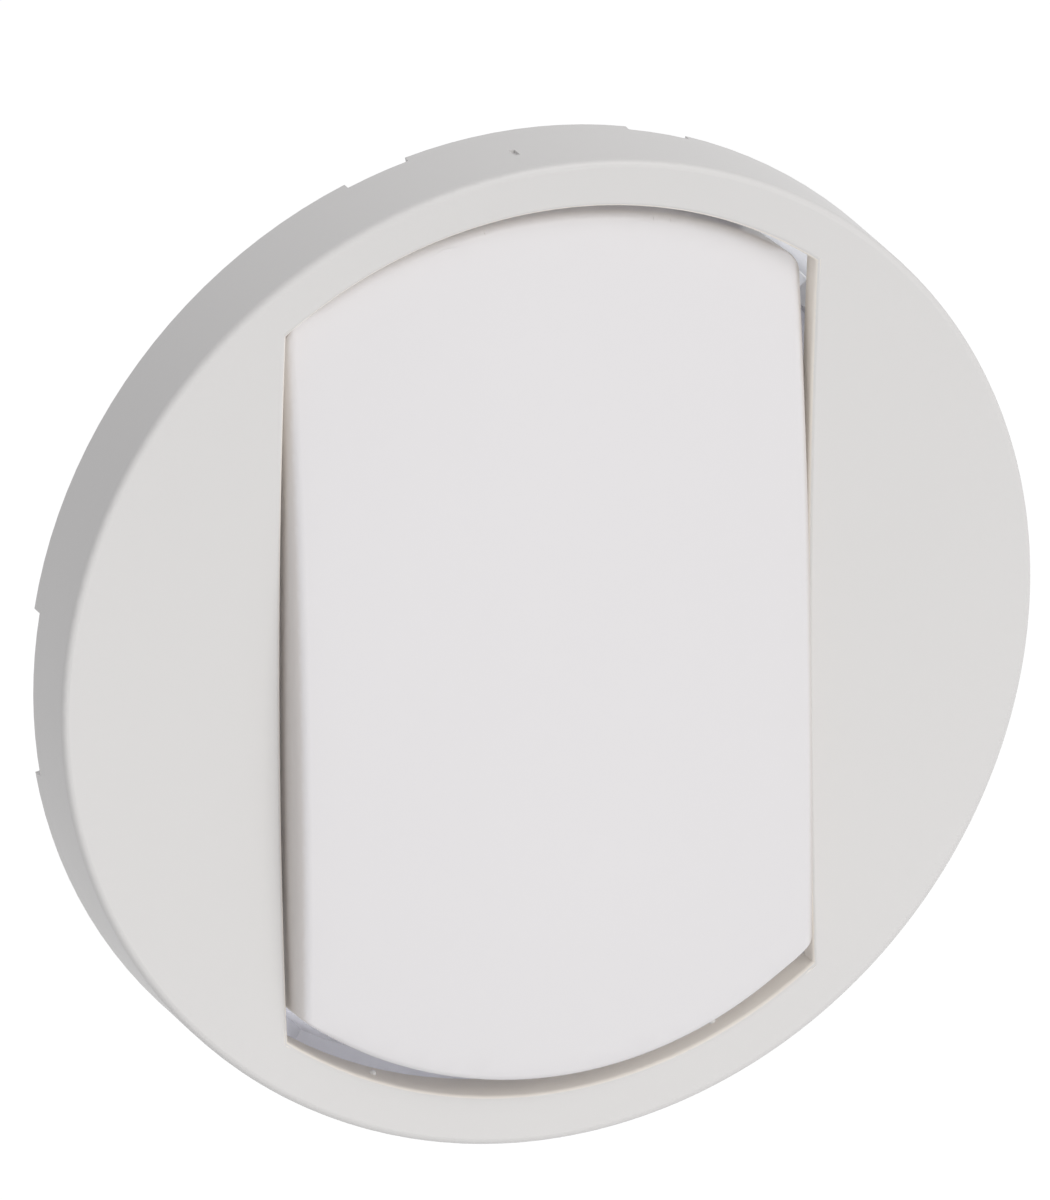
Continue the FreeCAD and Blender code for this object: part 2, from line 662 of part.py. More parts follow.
def build_rocker_key():
    """The crowned key: a shell of even wall with clips and seat ribs for the actuator."""
    cavity = Piece("key_cavity")
    cavity.add("room", -SIZE.key_height, SIZE.key_skirt + SIZE.key_wall,
               lens(KEY_HALF - SIZE.key_wall, KEY_END_RADIUS - SIZE.key_wall, SIZE.end_shift, SIZE.key_drop))
    cavity.crown(SIZE.key_height - SIZE.key_wall, SIZE.crown_across - SIZE.key_wall,
                 SIZE.crown_along - SIZE.key_wall, SIZE.window_half)

    key = Piece("rocker_key")
    front = -SIZE.key_height - SIZE.key_wall / 2
    reach = KEY_END_RADIUS + 2 * SIZE.end_shift
    key.add("block", front, SIZE.key_skirt, rectangle(-KEY_HALF, KEY_HALF, -reach, reach))
    key.crown(SIZE.key_height, SIZE.crown_across, SIZE.crown_along, SIZE.window_half)

    def soften_face(radius, wanted):
        edges = key.curved_face().Edges
        key.soften("Fillet", radius,
                   lambda edge: wanted(middle_of(edge)) and any(edge.isSame(other) for other in edges))

    soften_face(SIZE.key_round, lambda point: abs(point.x) > abs(point.z))
    key.cut("ends", front, SIZE.key_skirt, key_end(1, reach), key_end(-1, reach))
    soften_face(SIZE.end_round, lambda point: abs(point.x) < abs(point.z))
    key.hollow_out(cavity)

    seat = -SIZE.rocker_front
    buried = SIZE.key_wall / 2 - SIZE.key_height
    ribs = []
    clips = []
    hooks = []
    half_clip = SIZE.clip_width / 2
    for side in (-1, 1):
        rib = side * SIZE.rib_across
        ribs.append(rectangle(rib - SIZE.rib_wall / 2, rib + SIZE.rib_wall / 2,
                              -SIZE.rib_reach, SIZE.rib_reach))
        across = side * SIZE.clip_across
        for end in (-1, 1):
            up = end * SIZE.clip_up
            tip = up + end * (SIZE.clip_wall / 2 + SIZE.clip_hook)
            back = up - end * SIZE.clip_wall / 2
            clips.append(rectangle(across - half_clip, across + half_clip,
                                   up - SIZE.clip_wall / 2, up + SIZE.clip_wall / 2))
            low, high = (back, tip) if end > 0 else (tip, back)
            hooks.append(rectangle(across - half_clip, across + half_clip, low, high))
    clip_end = ROCKER_BACK + SIZE.touch_gap + SIZE.clip_hook
    key.add("ribs", buried, seat, *ribs)
    key.add("clips", buried + SIZE.key_wall / 2, clip_end, *clips)
    key.add("hooks", ROCKER_BACK + SIZE.touch_gap, clip_end, *hooks)
    tilt_to_rest(key.body)
    keep(key.body)


def build_key_actuator():
    """The inner rocker: a slotted plate with two trunnions and the pusher."""
    rocker = Piece("key_actuator")
    half = SIZE.rocker_half
    rocker.add("plate", -SIZE.rocker_front, ROCKER_BACK,
               rectangle(-half, half, -SIZE.rocker_reach, SIZE.rocker_reach))
    slots = []
    half_slot = SIZE.clip_width / 2 + SIZE.clip_gap
    deep_slot = SIZE.clip_wall / 2 + SIZE.clip_gap
    for side in (-1, 1):
        across = side * SIZE.clip_across
        for end in (-1, 1):
            up = end * SIZE.clip_up
            slots.append(rectangle(across - half_slot, across + half_slot, up - deep_slot, up + deep_slot))
    rocker.cut("slots", -SIZE.rocker_front, ROCKER_BACK, *slots)
    radius = SIZE.cheek_radius
    buried = ROCKER_BACK - SIZE.rocker_wall / 2
    cheek = outline((buried, -radius), (0, -radius, Around(0, 0)), (0, radius), (buried, radius))
    rocker.add_across("left_cheek", -half, SIZE.cheek_wall - half, cheek)
    rocker.add_across("right_cheek", half - SIZE.cheek_wall, half, cheek)
    pin_end = half + SIZE.post_gap + SIZE.post_wall - SIZE.touch_gap
    axle = circle(0, 0, SIZE.trunnion_radius)
    rocker.add_across("left_trunnion", -pin_end, SIZE.cheek_wall / 2 - half, axle)
    rocker.add_across("right_trunnion", half - SIZE.cheek_wall / 2, pin_end, axle)
    low = -SIZE.push_arm - SIZE.push_radius
    high = SIZE.push_radius - SIZE.push_arm
    pusher = outline((buried, low), (TIP_CENTRE, low, Around(TIP_CENTRE, -SIZE.push_arm)),
                     (TIP_CENTRE, high), (buried, high))
    rocker.add_across("pusher", -SIZE.push_half, SIZE.push_half, pusher)
    tilt_to_rest(rocker.body)
    keep(rocker.body)


def build_front_frame():
    """The round carrier plate with bearing posts, stop pads, plunger guide, seat ring and base arms."""
    frame = Piece("front_frame")
    radius = RIM_INNER - SIZE.collar_gap
    frame.add("plate", SIZE.frame_front, FRAME_BACK, circle(0, 0, radius - SIZE.plate_rebate))
    frame.add("collar", -SIZE.collar_front, SIZE.frame_front + SIZE.collar_root,
              circle(0, 0, radius), circle(0, 0, radius - SIZE.collar_wall))
    bay_inner = SIZE.leg_inner - SIZE.frame_gap
    bays = []
    for angle, side in zip(leg_angles(), (1, -1, 1, -1)):
        bays.append(bay(bay_inner, RIM_INNER, angle + side * SIZE.bay_offset, SIZE.bay_spread))
    frame.cut("leg_bays", -SIZE.collar_front, FRAME_BACK, *bays)
    seat_outer = SIZE.leg_inner - SIZE.leg_hook - SIZE.seat_gap
    frame.add("seat_ring", FRAME_BACK - SIZE.frame_wall / 2, SEAT_BACK,
              circle(0, 0, seat_outer), circle(0, 0, seat_outer - SIZE.seat_width))
    post = outline((SIZE.frame_front + SIZE.frame_wall / 2, -SIZE.post_radius),
                   (PIVOT, -SIZE.post_radius), (PIVOT, SIZE.post_radius),
                   (SIZE.frame_front + SIZE.frame_wall / 2, SIZE.post_radius))
    cap = circle(PIVOT, 0, SIZE.post_radius)
    bearing = circle(PIVOT, 0, SIZE.trunnion_radius + SIZE.trunnion_fit)
    near = SIZE.rocker_half + SIZE.post_gap
    far = near + SIZE.post_wall
    for name, left, right in (("left", -far, -near), ("right", near, far)):
        frame.add_across(f"{name}_post", left, right, post)
        frame.add_across(f"{name}_cap", left, right, cap)
        frame.cut_across(f"{name}_bearing", left, right, bearing)
    stop_front = (
        PIVOT
        + ROCKER_BACK * cosine(SIZE.key_tilt)
        + SIZE.rocker_reach * sine(SIZE.key_tilt)
        + SIZE.touch_gap
    )
    pads = []
    near_end = SIZE.rocker_reach - SIZE.stop_length
    far_end = SIZE.rocker_reach + SIZE.stop_length
    for across in (-SIZE.stop_across, SIZE.stop_across):
        left = across - SIZE.stop_width / 2
        right = across + SIZE.stop_width / 2
        pads.append(rectangle(left, right, near_end, far_end))
        pads.append(rectangle(left, right, -far_end, -near_end))
    frame.add("stops", stop_front, SIZE.frame_front + SIZE.frame_wall / 2, *pads)
    frame.cut("guide", SIZE.frame_front, FRAME_BACK,
              circle(0, PLUNGER_LEVEL, SIZE.pin_radius + SIZE.pin_fit))
    arm_outer = ARM_INNER + SIZE.arm_wall
    arm_back = FRAME_BACK + SIZE.arm_length
    frame.add("arms", FRAME_BACK - SIZE.frame_wall / 2, arm_back,
              rectangle(-SIZE.arm_half, SIZE.arm_half, ARM_INNER, arm_outer),
              rectangle(-SIZE.arm_half, SIZE.arm_half, -arm_outer, -ARM_INNER))
    eye_front = FRAME_BACK + SIZE.eye_start
    frame.cut("eyes", eye_front, eye_front + SIZE.eye_length,
              rectangle(-SIZE.eye_half, SIZE.eye_half, ARM_INNER, arm_outer),
              rectangle(-SIZE.eye_half, SIZE.eye_half, -arm_outer, -ARM_INNER))
    keep(frame.body)


def build_base_housing():
    """The cup behind the frame: seats, shelves, rear openings, noses for the arms and side latches."""
    base = Piece("base_housing")
    outer_flat = BASE_FLAT + (root(sized(2)) - 1) * SIZE.base_wall
    base.add("cup", FRAME_BACK, BASE_BACK, octagon(SIZE.base_half, outer_flat))
    base.cut("room", FRAME_BACK, FLOOR, octagon(BASE_INNER, BASE_FLAT))
    root_depth = FLOOR + SIZE.base_wall / 2
    low = PLUNGER_LEVEL - SIZE.bridge_width / 2
    high = PLUNGER_LEVEL + SIZE.bridge_width / 2
    seat_end = SIZE.bridge_half
    base.add("seats", BAR_BACK, root_depth,
             rectangle(SIZE.bar_inner, seat_end, low, high),
             rectangle(-seat_end, -SIZE.bar_inner, low, high))
    base.add("boss", FLOOR - SIZE.boss_height, root_depth, circle(0, PLUNGER_LEVEL, SIZE.boss_radius))
    shelf_end = WIRE_OUTER + SIZE.guide_side
    base.add("shelves", SIZE.strip_front, root_depth,
             rectangle(-shelf_end, -SIZE.rib_half, SHELF_LOW, SHELF_TOP),
             rectangle(SIZE.rib_half, shelf_end, SHELF_LOW, SHELF_TOP))
    base.add("partition", SIZE.tab_front, root_depth,
             rectangle(-SIZE.rib_half, SIZE.rib_half, SHELF_LOW, SIZE.partition_top))
    openings = []
    for side in (-1, 1):
        ends = []
        for end in (SIZE.wire_inner - SIZE.guide_side, WIRE_OUTER + SIZE.guide_side):
            ends.append(side * end)
        left, right = ends if side > 0 else ends[::-1]
        reach = SIZE.guide_half + SIZE.guide_fit
        openings.append(rectangle(left - SIZE.guide_fit, right + SIZE.guide_fit,
                                  SIZE.wire_level - reach, SIZE.wire_level + reach))
        across = side * BUTTON_ACROSS
        half = SIZE.button_half + SIZE.button_fit
        rise = SIZE.button_rise + SIZE.button_fit
        openings.append(rectangle(across - half, across + half,
                                  SIZE.button_level - rise, SIZE.button_level + rise))
    base.cut("openings", FLOOR, BASE_BACK, *openings)

    nose_front = FRAME_BACK + SIZE.eye_start + SIZE.touch_gap
    nose_back = nose_front + SIZE.eye_length - 2 * SIZE.touch_gap
    nose_half = SIZE.eye_half - SIZE.frame_gap
    crest = ARM_INNER + SIZE.arm_wall / 2
    buried = SIZE.base_half - SIZE.base_wall / 2
    for name, side in (("upper", 1), ("lower", -1)):
        base.add_across(f"{name}_nose", -nose_half, nose_half,
                        outline((nose_front, side * buried), (nose_front, side * crest),
                                (nose_back, side * SIZE.base_half), (nose_back, side * buried)))

    grip = SEAT_BACK + SIZE.plate_grip
    slope_end = grip + SIZE.latch_length
    tip = SIZE.base_half + SIZE.latch_reach
    half = SIZE.latch_half
    for name, side in (("left", -1), ("right", 1)):
        wedge = outline((side * buried, grip), (side * tip, grip),
                        (side * SIZE.base_half, slope_end), (side * buried, slope_end))
        sketch = base.sketch(f"{name}_latch", "XY_Plane", -half, [wedge])
        bind(base.feature("Pad", f"{name}_latch", sketch), "Length", 2 * half)
    slots = []
    for edge in (-half - SIZE.latch_slot, half):
        slots.append(rectangle(FRAME_BACK, slope_end, edge, edge + SIZE.latch_slot))
    base.cut_across("left_slots", -SIZE.base_half, -BASE_INNER, *slots)
    base.cut_across("right_slots", BASE_INNER, SIZE.base_half, *slots)
    keep(base.body)


def build_contact():
    """The plunger with its clip and bridge, the contact tips and the two coil springs."""
    plunger = Piece("plunger")
    groove = SIZE.stem_radius - SIZE.stem_groove
    groove_back = CLIP_BACK + SIZE.touch_gap
    tail = groove_back + SIZE.stem_tail
    plunger.turn(
        "shape", PLUNGER_LEVEL,
        outline(
            (0, PIN_FRONT), (SIZE.pin_radius, PIN_FRONT),
            (SIZE.pin_radius, FLANGE_FRONT), (SIZE.flange_radius, FLANGE_FRONT),
            (SIZE.flange_radius, FLANGE_BACK), (SIZE.stem_radius, FLANGE_BACK),
            (SIZE.stem_radius, BRIDGE_BACK), (groove, BRIDGE_BACK),
            (groove, groove_back), (SIZE.stem_radius, groove_back),
            (SIZE.stem_radius, tail), (0, tail),
        ),
    )
    keep(plunger.body)

    clip = Piece("bridge_clip")
    clip.add("ring", CLIP_FRONT, CLIP_BACK, circle(0, PLUNGER_LEVEL, SIZE.clip_radius),
             circle(0, PLUNGER_LEVEL, groove + SIZE.pin_fit))
    clip.cut("mouth", CLIP_FRONT, CLIP_BACK,
             rectangle(-SIZE.clip_mouth / 2, SIZE.clip_mouth / 2, PLUNGER_LEVEL,
                       PLUNGER_LEVEL + 2 * SIZE.clip_radius))
    keep(clip.body)

    bridge = Piece("contact_bridge")
    half_width = SIZE.bridge_width / 2
    bridge.add("strip", BRIDGE_FRONT, BRIDGE_BACK,
               rectangle(-SIZE.bridge_half, SIZE.bridge_half, PLUNGER_LEVEL - half_width,
                         PLUNGER_LEVEL + half_width),
               circle(0, PLUNGER_LEVEL, SIZE.stem_radius + SIZE.pin_fit))
    bridge.soften("Fillet", half_width / 2, runs_in_depth)
    keep(bridge.body)

    for name, front, rounded in (
        ("bridge_contacts", BRIDGE_BACK, BRIDGE_BACK + SIZE.tip_height),
        ("fixed_contacts", FIXED_TIP_FRONT, FIXED_TIP_FRONT),
    ):
        tip = Piece(f"{name}_right")
        tip.add("disc", front, front + SIZE.tip_height,
                circle(SIZE.tip_across, PLUNGER_LEVEL, SIZE.tip_radius))
        face = rounded.value
        tip.soften("Fillet", SIZE.tip_round,
                   lambda edge: edge.Closed and abs(middle_of(edge).y - face) < 0.01)
        keep(grouped(name, tip.body, mirrored(tip.body, f"{name}_left")))

    for name, front, back, pitch in (
        ("contact_spring", FLANGE_BACK, BRIDGE_FRONT, SIZE.contact_pitch),
        ("return_spring", CLIP_BACK, FLOOR, SIZE.return_pitch),
    ):
        keep(coil_spring(name, front, back, pitch))


def coil_spring(name, front, back, pitch):
    """A round wire wound around the plunger's axis between two seats."""
    lying = FreeCAD.Rotation(FreeCAD.Vector(1, 0, 0), -90)
    inset = SIZE.coil_wire + SIZE.touch_gap
    helix = DOC.addObject("Part::Helix", f"{name}_path")
    helix.Placement.Rotation = lying
    bind(helix, "Radius", SIZE.coil_radius)
    bind(helix, "Pitch", pitch)
    bind(helix, "Height", back - front - 2 * inset)
    wire = DOC.addObject("Part::Circle", f"{name}_wire")
    bind(wire, "Radius", SIZE.coil_wire)
    bind(wire, "Placement.Base.x", SIZE.coil_radius)
    for item in (helix, wire):
        bind(item, "Placement.Base.y", front + inset)
        bind(item, "Placement.Base.z", PLUNGER_LEVEL)
    spring = DOC.addObject("Part::Sweep", name)
    spring.Label = name
    spring.Sections = [wire]
    DOC.recompute()
    spring.Spine = (helix, [f"Edge{number + 1}" for number in range(len(helix.Shape.Edges))])
    spring.Solid = True
    spring.Frenet = True
    return spring


def build_terminals():
    """One pole of the push-in terminals, and its mirror image for the other side."""
    low = PLUNGER_LEVEL - SIZE.bridge_width / 2
    high = PLUNGER_LEVEL + SIZE.bridge_width / 2
    web_inner = BAR_OUTER - SIZE.sheet_wall
    tab_top = SIZE.tab_level + SIZE.sheet_wall
    bar = Piece("right_terminal_bar")
    bar.add("leg", BAR_FRONT, BAR_BACK, rectangle(SIZE.bar_inner, BAR_OUTER, low, high))
    bar.add("web", SIZE.web_front, BAR_BACK, rectangle(web_inner, BAR_OUTER, low, tab_top))
    bar.add("tab", SIZE.tab_front, SIZE.tab_back,
            rectangle(SIZE.tab_inner, BAR_OUTER, SIZE.tab_level, tab_top))
    both_sides(bar.body, "left_terminal_bar")

    guide = Piece("right_wire_guide")
    left = SIZE.wire_inner - SIZE.guide_side
    right = WIRE_OUTER + SIZE.guide_side
    floor = SIZE.wire_level - SIZE.guide_half
    roof = SIZE.wire_level + SIZE.guide_half
    guide_front = BASE_BACK - SIZE.guide_depth
    lip_back = FLOOR - SIZE.touch_gap
    guide.add("block", guide_front, BASE_BACK, rectangle(left, right, floor, roof))
    guide.add("lip", guide_front + SIZE.guide_depth / 4, lip_back,
              rectangle(left - SIZE.guide_lip, right + SIZE.guide_lip, floor - SIZE.guide_lip / 2, roof))
    guide.cut("entries", guide_front, BASE_BACK,
              circle(SIZE.wire_inner, SIZE.wire_level, SIZE.wire_radius),
              circle(WIRE_OUTER, SIZE.wire_level, SIZE.wire_radius))
    guide.soften("Chamfer", SIZE.wire_funnel,
                 lambda edge: edge.Closed and abs(middle_of(edge).y - BASE_BACK.value) < 0.01)
    both_sides(guide.body, "left_wire_guide")

    button = Piece("right_release_button")
    half = SIZE.button_half
    low = SIZE.button_level - SIZE.button_rise
    high = SIZE.button_level + SIZE.button_rise
    button_back = BASE_BACK + SIZE.button_proud
    ear_back = FLOOR - SIZE.button_fit
    button.add("bar", SIZE.button_front, button_back,
               rectangle(BUTTON_ACROSS - half, BUTTON_ACROSS + half, low, high))
    button.add("ears", SIZE.button_front + SIZE.button_travel, ear_back,
               rectangle(BUTTON_ACROSS - half - SIZE.button_ear,
                         BUTTON_ACROSS + half + SIZE.button_ear, low, high))
    button.cut("slit", button_back - SIZE.slit_depth, button_back,
               rectangle(BUTTON_ACROSS - SIZE.slit_half, BUTTON_ACROSS + SIZE.slit_half,
                         SIZE.button_level - SIZE.slit_width / 2, SIZE.button_level + SIZE.slit_width / 2))
    both_sides(button.body, "left_release_button")

    springs = []
    for name, across in (("inner_clamp_spring", SIZE.wire_inner), ("outer_clamp_spring", WIRE_OUTER)):
        springs.append(clamp_spring(name, across))
    both_sides(grouped("right_clamp_springs", *springs), "left_clamp_springs")


def clamp_spring(name, across):
    """A strip with a level fixed leg, a bend at the rear and a leaning leg that bites on the wire."""
    strip = Piece(name)
    level = SIZE.strip_level
    centre = (SIZE.strip_turn, level + SIZE.strip_bend)
    inner_bend = SIZE.strip_bend - SIZE.strip_wall
    swing = 90 - SIZE.strip_lean
    ends = []
    for radius in (SIZE.strip_bend, inner_bend):
        offset = polar(radius, swing)
        ends.append((centre[0] + offset[0], centre[1] + offset[1]))
    run = polar(SIZE.strip_length, 180 - SIZE.strip_lean)
    strip.add_across(
        "strip", across - SIZE.strip_half, across + SIZE.strip_half,
        outline(
            (SIZE.strip_front, level),
            (SIZE.strip_turn, level, Around(*centre)),
            ends[0],
            (ends[0][0] + run[0], ends[0][1] + run[1]),
            (ends[1][0] + run[0], ends[1][1] + run[1]),
            (ends[1][0], ends[1][1], Around(*centre, leftward=False)),
            (SIZE.strip_turn, level + SIZE.strip_wall),
            (SIZE.strip_front, level + SIZE.strip_wall),
        ),
    )
    return strip.body


def both_sides(right, left_name):
    keep(right)
    keep(mirrored(right, left_name))


def write_pieces():
    """Recompute, look for failed objects and bad shapes, and write a file for each piece."""
    DOC.recompute()
    failed = [item.Label for item in DOC.Objects if {"Invalid", "Error"} & set(item.State)]
    if failed:
        raise RuntimeError(f"failed objects: {failed}")
    for node in NODES:
        if node.Shape.isNull() or not node.Shape.isValid() or not node.Shape.Solids:
            raise RuntimeError(f"bad shape: {node.Label}")
    os.makedirs("parts", exist_ok=True)
    for node in NODES:
        node.Shape.exportStep(f"parts/{node.Label}.step")
        box = node.Shape.BoundBox
        print(f"{node.Label}: {len(node.Shape.Solids)} solid(s), {node.Shape.Volume:.1f} mm3, "
              f"{box.XLength:.2f} x {box.YLength:.2f} x {box.ZLength:.2f} mm")


build_trim_ring()
build_rocker_key()
build_key_actuator()
build_front_frame()
build_base_housing()
build_contact()
build_terminals()
write_pieces()
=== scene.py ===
"""Dresses the round push button switch: finishes, small moulded marks, light and camera."""

import logging
import math
from dataclasses import dataclass
from enum import Enum
from typing import Any, Callable, Union

import bmesh
import bpy
from mathutils import Euler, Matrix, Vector


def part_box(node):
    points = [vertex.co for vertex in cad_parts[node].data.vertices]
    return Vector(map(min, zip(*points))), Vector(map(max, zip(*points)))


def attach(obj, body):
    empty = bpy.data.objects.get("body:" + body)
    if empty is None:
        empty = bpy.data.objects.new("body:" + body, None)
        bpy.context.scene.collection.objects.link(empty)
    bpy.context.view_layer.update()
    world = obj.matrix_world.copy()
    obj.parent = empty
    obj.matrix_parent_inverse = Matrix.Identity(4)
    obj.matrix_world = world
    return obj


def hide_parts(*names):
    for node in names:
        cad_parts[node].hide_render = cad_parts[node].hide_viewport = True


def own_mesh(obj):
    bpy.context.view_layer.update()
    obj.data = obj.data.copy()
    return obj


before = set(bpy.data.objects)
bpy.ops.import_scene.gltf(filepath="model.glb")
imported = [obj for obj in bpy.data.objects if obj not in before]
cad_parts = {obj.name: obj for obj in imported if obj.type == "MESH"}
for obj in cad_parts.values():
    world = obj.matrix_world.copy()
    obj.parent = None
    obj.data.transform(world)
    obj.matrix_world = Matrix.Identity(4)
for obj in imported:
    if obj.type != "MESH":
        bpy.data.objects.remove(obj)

LOG = logging.getLogger("switch")
MM = 0.001
SAME_PLACE = 0.002 * MM
CREASE = math.radians(50)
Colour = tuple[float, float, float, float]
Point = tuple[float, float, float]


class Side(Enum):
    """The two poles of the terminal block, seen from the front."""

    LEFT = "left"
    RIGHT = "right"


class Grain(Enum):
    """Surface of the mould: size of its grain and height of its relief, in metres."""

    SATIN = (0.16 * MM, 0.0011 * MM)
    MATT = (0.22 * MM, 0.0048 * MM)
    SPARKED = (0.34 * MM, 0.0085 * MM)


class Wall(Enum):
    """Which walls of a piece get painted light or shade, by the axes that they face along."""

    SIDES = (1.0, 0.0, 0.0)
    AROUND = (1.0, 0.0, 1.0)


class Brush(Enum):
    """Stretch of the marks that rolling, drawing or stamping leaves, along X, Y and Z."""

    ROLLED = (1.0, 1.0, 0.08)
    DRAWN = (1.0, 0.15, 1.0)
    STAMPED = (0.5, 1.0, 0.5)


class Signal:
    """The output of a node, which can stand in a Python expression."""

    def __init__(self, graph: "Graph", node: bpy.types.Node, output: Union[str, int] = 0) -> None:
        """Keeps the node and the output that is meant."""
        self.graph = graph
        self.node = node
        self.output = output

    @property
    def socket(self) -> bpy.types.NodeSocket:
        """The output socket itself."""
        return pick(self.node.outputs, self.output)

    def out(self, output: Union[str, int]) -> "Signal":
        """Another output of the same node."""
        return Signal(self.graph, self.node, output)

    def __add__(self, other: "Operand") -> "Signal":
        """Sum of two values."""
        return self.graph.math("ADD", self, other)

    def __radd__(self, other: "Operand") -> "Signal":
        """Sum of two values."""
        return self.graph.math("ADD", other, self)

    def __sub__(self, other: "Operand") -> "Signal":
        """Difference of two values."""
        return self.graph.math("SUBTRACT", self, other)

    def __mul__(self, other: "Operand") -> "Signal":
        """Product of two values."""
        return self.graph.math("MULTIPLY", self, other)

    def __rmul__(self, other: "Operand") -> "Signal":
        """Product of two values."""
        return self.graph.math("MULTIPLY", other, self)


Operand = Union[Signal, float, int, bool, str, tuple, bpy.types.Material]


def pick(sockets: Any, key: Union[str, int]) -> bpy.types.NodeSocket:
    """Finds a socket by its place, its identifier or its name.

    Args:
        sockets: The inputs or outputs of a node.
        key: Place, identifier or name.

    Returns:
        The socket.
    """
    if isinstance(key, int):
        return sockets[key]
    for socket in sockets:
        if socket.identifier == key:
            return socket
    return sockets[key]


class Graph:
    """A node tree that is filled from the script."""

    def __init__(self, tree: bpy.types.NodeTree) -> None:
        """Takes an empty tree, or empties it."""
        self.tree = tree
        tree.nodes.clear()

    def node(self, kind: str, settings: Union[dict, None] = None,
             sockets: Union[dict, None] = None, output: Union[str, int] = 0) -> Signal:
        """Adds a node.

        Args:
            kind: Type of the node.
            settings: Its own settings, which are set first.
            sockets: Values or links of its inputs, by place, identifier or name.
            output: The output that is meant.

        Returns:
            That output.
        """
        made = self.tree.nodes.new(kind)
        for name, value in (settings or {}).items():
            setattr(made, name, value)
        for key, value in (sockets or {}).items():
            target = pick(made.inputs, key)
            if isinstance(value, Signal):
                self.tree.links.new(value.socket, target)
            else:
                target.default_value = value
        return Signal(self, made, output)

    def math(self, operation: str, first: Operand, second: Operand) -> Signal:
        """Joins two values with a Math node."""
        return self.node("ShaderNodeMath", {"operation": operation}, {0: first, 1: second})

    def blend(self, share: Operand, first: Operand, second: Operand) -> Signal:
        """Mixes two colours.

        Args:
            share: Share of the second colour.
            first: First colour.
            second: Second colour.

        Returns:
            The mixed colour.
        """
        return self.node("ShaderNodeMix", {"data_type": "RGBA"},
                         {"Factor_Float": share, "A_Color": first, "B_Color": second}, "Result_Color")

    def noise(self, place: Operand, size: float, detail: float) -> Signal:
        """Soft cloudy noise.

        Args:
            place: Coordinates.
            size: Size of its patches, in metres.
            detail: Number of finer layers.

        Returns:
            A value around 0.5.
        """
        return self.node("ShaderNodeTexNoise", {},
                         {"Vector": place, "Scale": 1 / size, "Detail": detail, "Roughness": 0.5}, "Fac")

    def bump(self, height: Operand, depth: float, strength: float) -> Signal:
        """Turns a height from 0 to 1 into a tilted normal.

        Args:
            height: The relief.
            depth: Height of the relief, in metres.
            strength: Share of it that shows.

        Returns:
            The normal.
        """
        return self.node("ShaderNodeBump", {}, {"Height": height, "Distance": depth, "Strength": strength})


def new_material(name: str) -> tuple[bpy.types.Material, Graph]:
    """Makes an empty node material.

    Args:
        name: Its name.

    Returns:
        The material and its graph.
    """
    material = bpy.data.materials.new(name)
    material.use_nodes = True
    return material, Graph(material.node_tree)


@dataclass(frozen=True)
class MouldedPlastic:
    """A moulded plastic with a fine mould grain and faint flow clouds, milky where it lets light through, with
    painted light or shade on chosen walls beside a gap.
    """

    name: str
    colour: Colour
    shade: Colour
    roughness: float
    spread: float
    grain: Grain
    cloud: float = 16.0 * MM
    through: float = 0.0
    painted_wall_shading: Union[Colour, None] = None
    painted_shading_face: Wall = Wall.AROUND
    painted_shading_within: float = 31.2 * MM
    painted_shading_before: float = 0.0
    painted_shading_turn: tuple[float, float] = (0.15, 0.60)

    def _painted_shading_share(self, graph: Graph, place: Signal) -> Signal:
        """Share of the walls beside the gap that get painted light or shade.

        Args:
            graph: The tree.
            place: Object coordinates, with the object's own normal beside them.

        Returns:
            A value from 0 to 1.
        """
        sideways = graph.node("ShaderNodeVectorMath", {"operation": "MULTIPLY"},
                              {0: place.out("Normal"), 1: self.painted_shading_face.value})
        facing = graph.node("ShaderNodeVectorMath", {"operation": "LENGTH"}, {0: sideways}, "Value")
        turned = graph.node("ShaderNodeMapRange", {"interpolation_type": "SMOOTHSTEP"}, {
            "Value": facing * facing, "From Min": self.painted_shading_turn[0], "From Max": self.painted_shading_turn[1]})
        level = graph.node("ShaderNodeVectorMath", {"operation": "MULTIPLY"}, {0: place, 1: (1.0, 0.0, 1.0)})
        radius = graph.node("ShaderNodeVectorMath", {"operation": "LENGTH"}, {0: level}, "Value")
        depth = graph.node("ShaderNodeSeparateXYZ", {}, {"Vector": place}, "Y")
        near = graph.math("LESS_THAN", radius, self.painted_shading_within)
        return turned * near * graph.math("LESS_THAN", depth, self.painted_shading_before)

    def material(self) -> bpy.types.Material:
        """Builds the material.

        Returns:
            The material.
        """
        material, graph = new_material(self.name)
        place = graph.node("ShaderNodeTexCoord", output="Object")
        cloud = graph.noise(place, self.cloud, 3.0)
        size, depth = self.grain.value
        grain = graph.noise(place, size, 2.0)
        colour = graph.blend(cloud, self.colour, self.shade)
        # Painted light or shade: the chosen walls beside the gap are painted paler or darker in place of the light
        # that reaches them.
        if self.painted_wall_shading:
            colour = graph.blend(self._painted_shading_share(graph, place), colour, self.painted_wall_shading)
        roughness = self.roughness + self.spread * (cloud - 0.5) + self.spread * (grain - 0.5)
        shader = graph.node("ShaderNodeBsdfPrincipled", {}, {
            "Base Color": colour,
            "Roughness": roughness,
            "IOR": 1.49,
            "Normal": graph.bump(grain, depth, 1.0),
        })
        if self.through:
            glow = graph.node("ShaderNodeBsdfTranslucent", {}, {"Color": colour})
            shader = graph.node("ShaderNodeMixShader", {}, {"Fac": self.through, 1: shader, 2: glow})
        graph.node("ShaderNodeOutputMaterial", {}, {"Surface": shader})
        return material


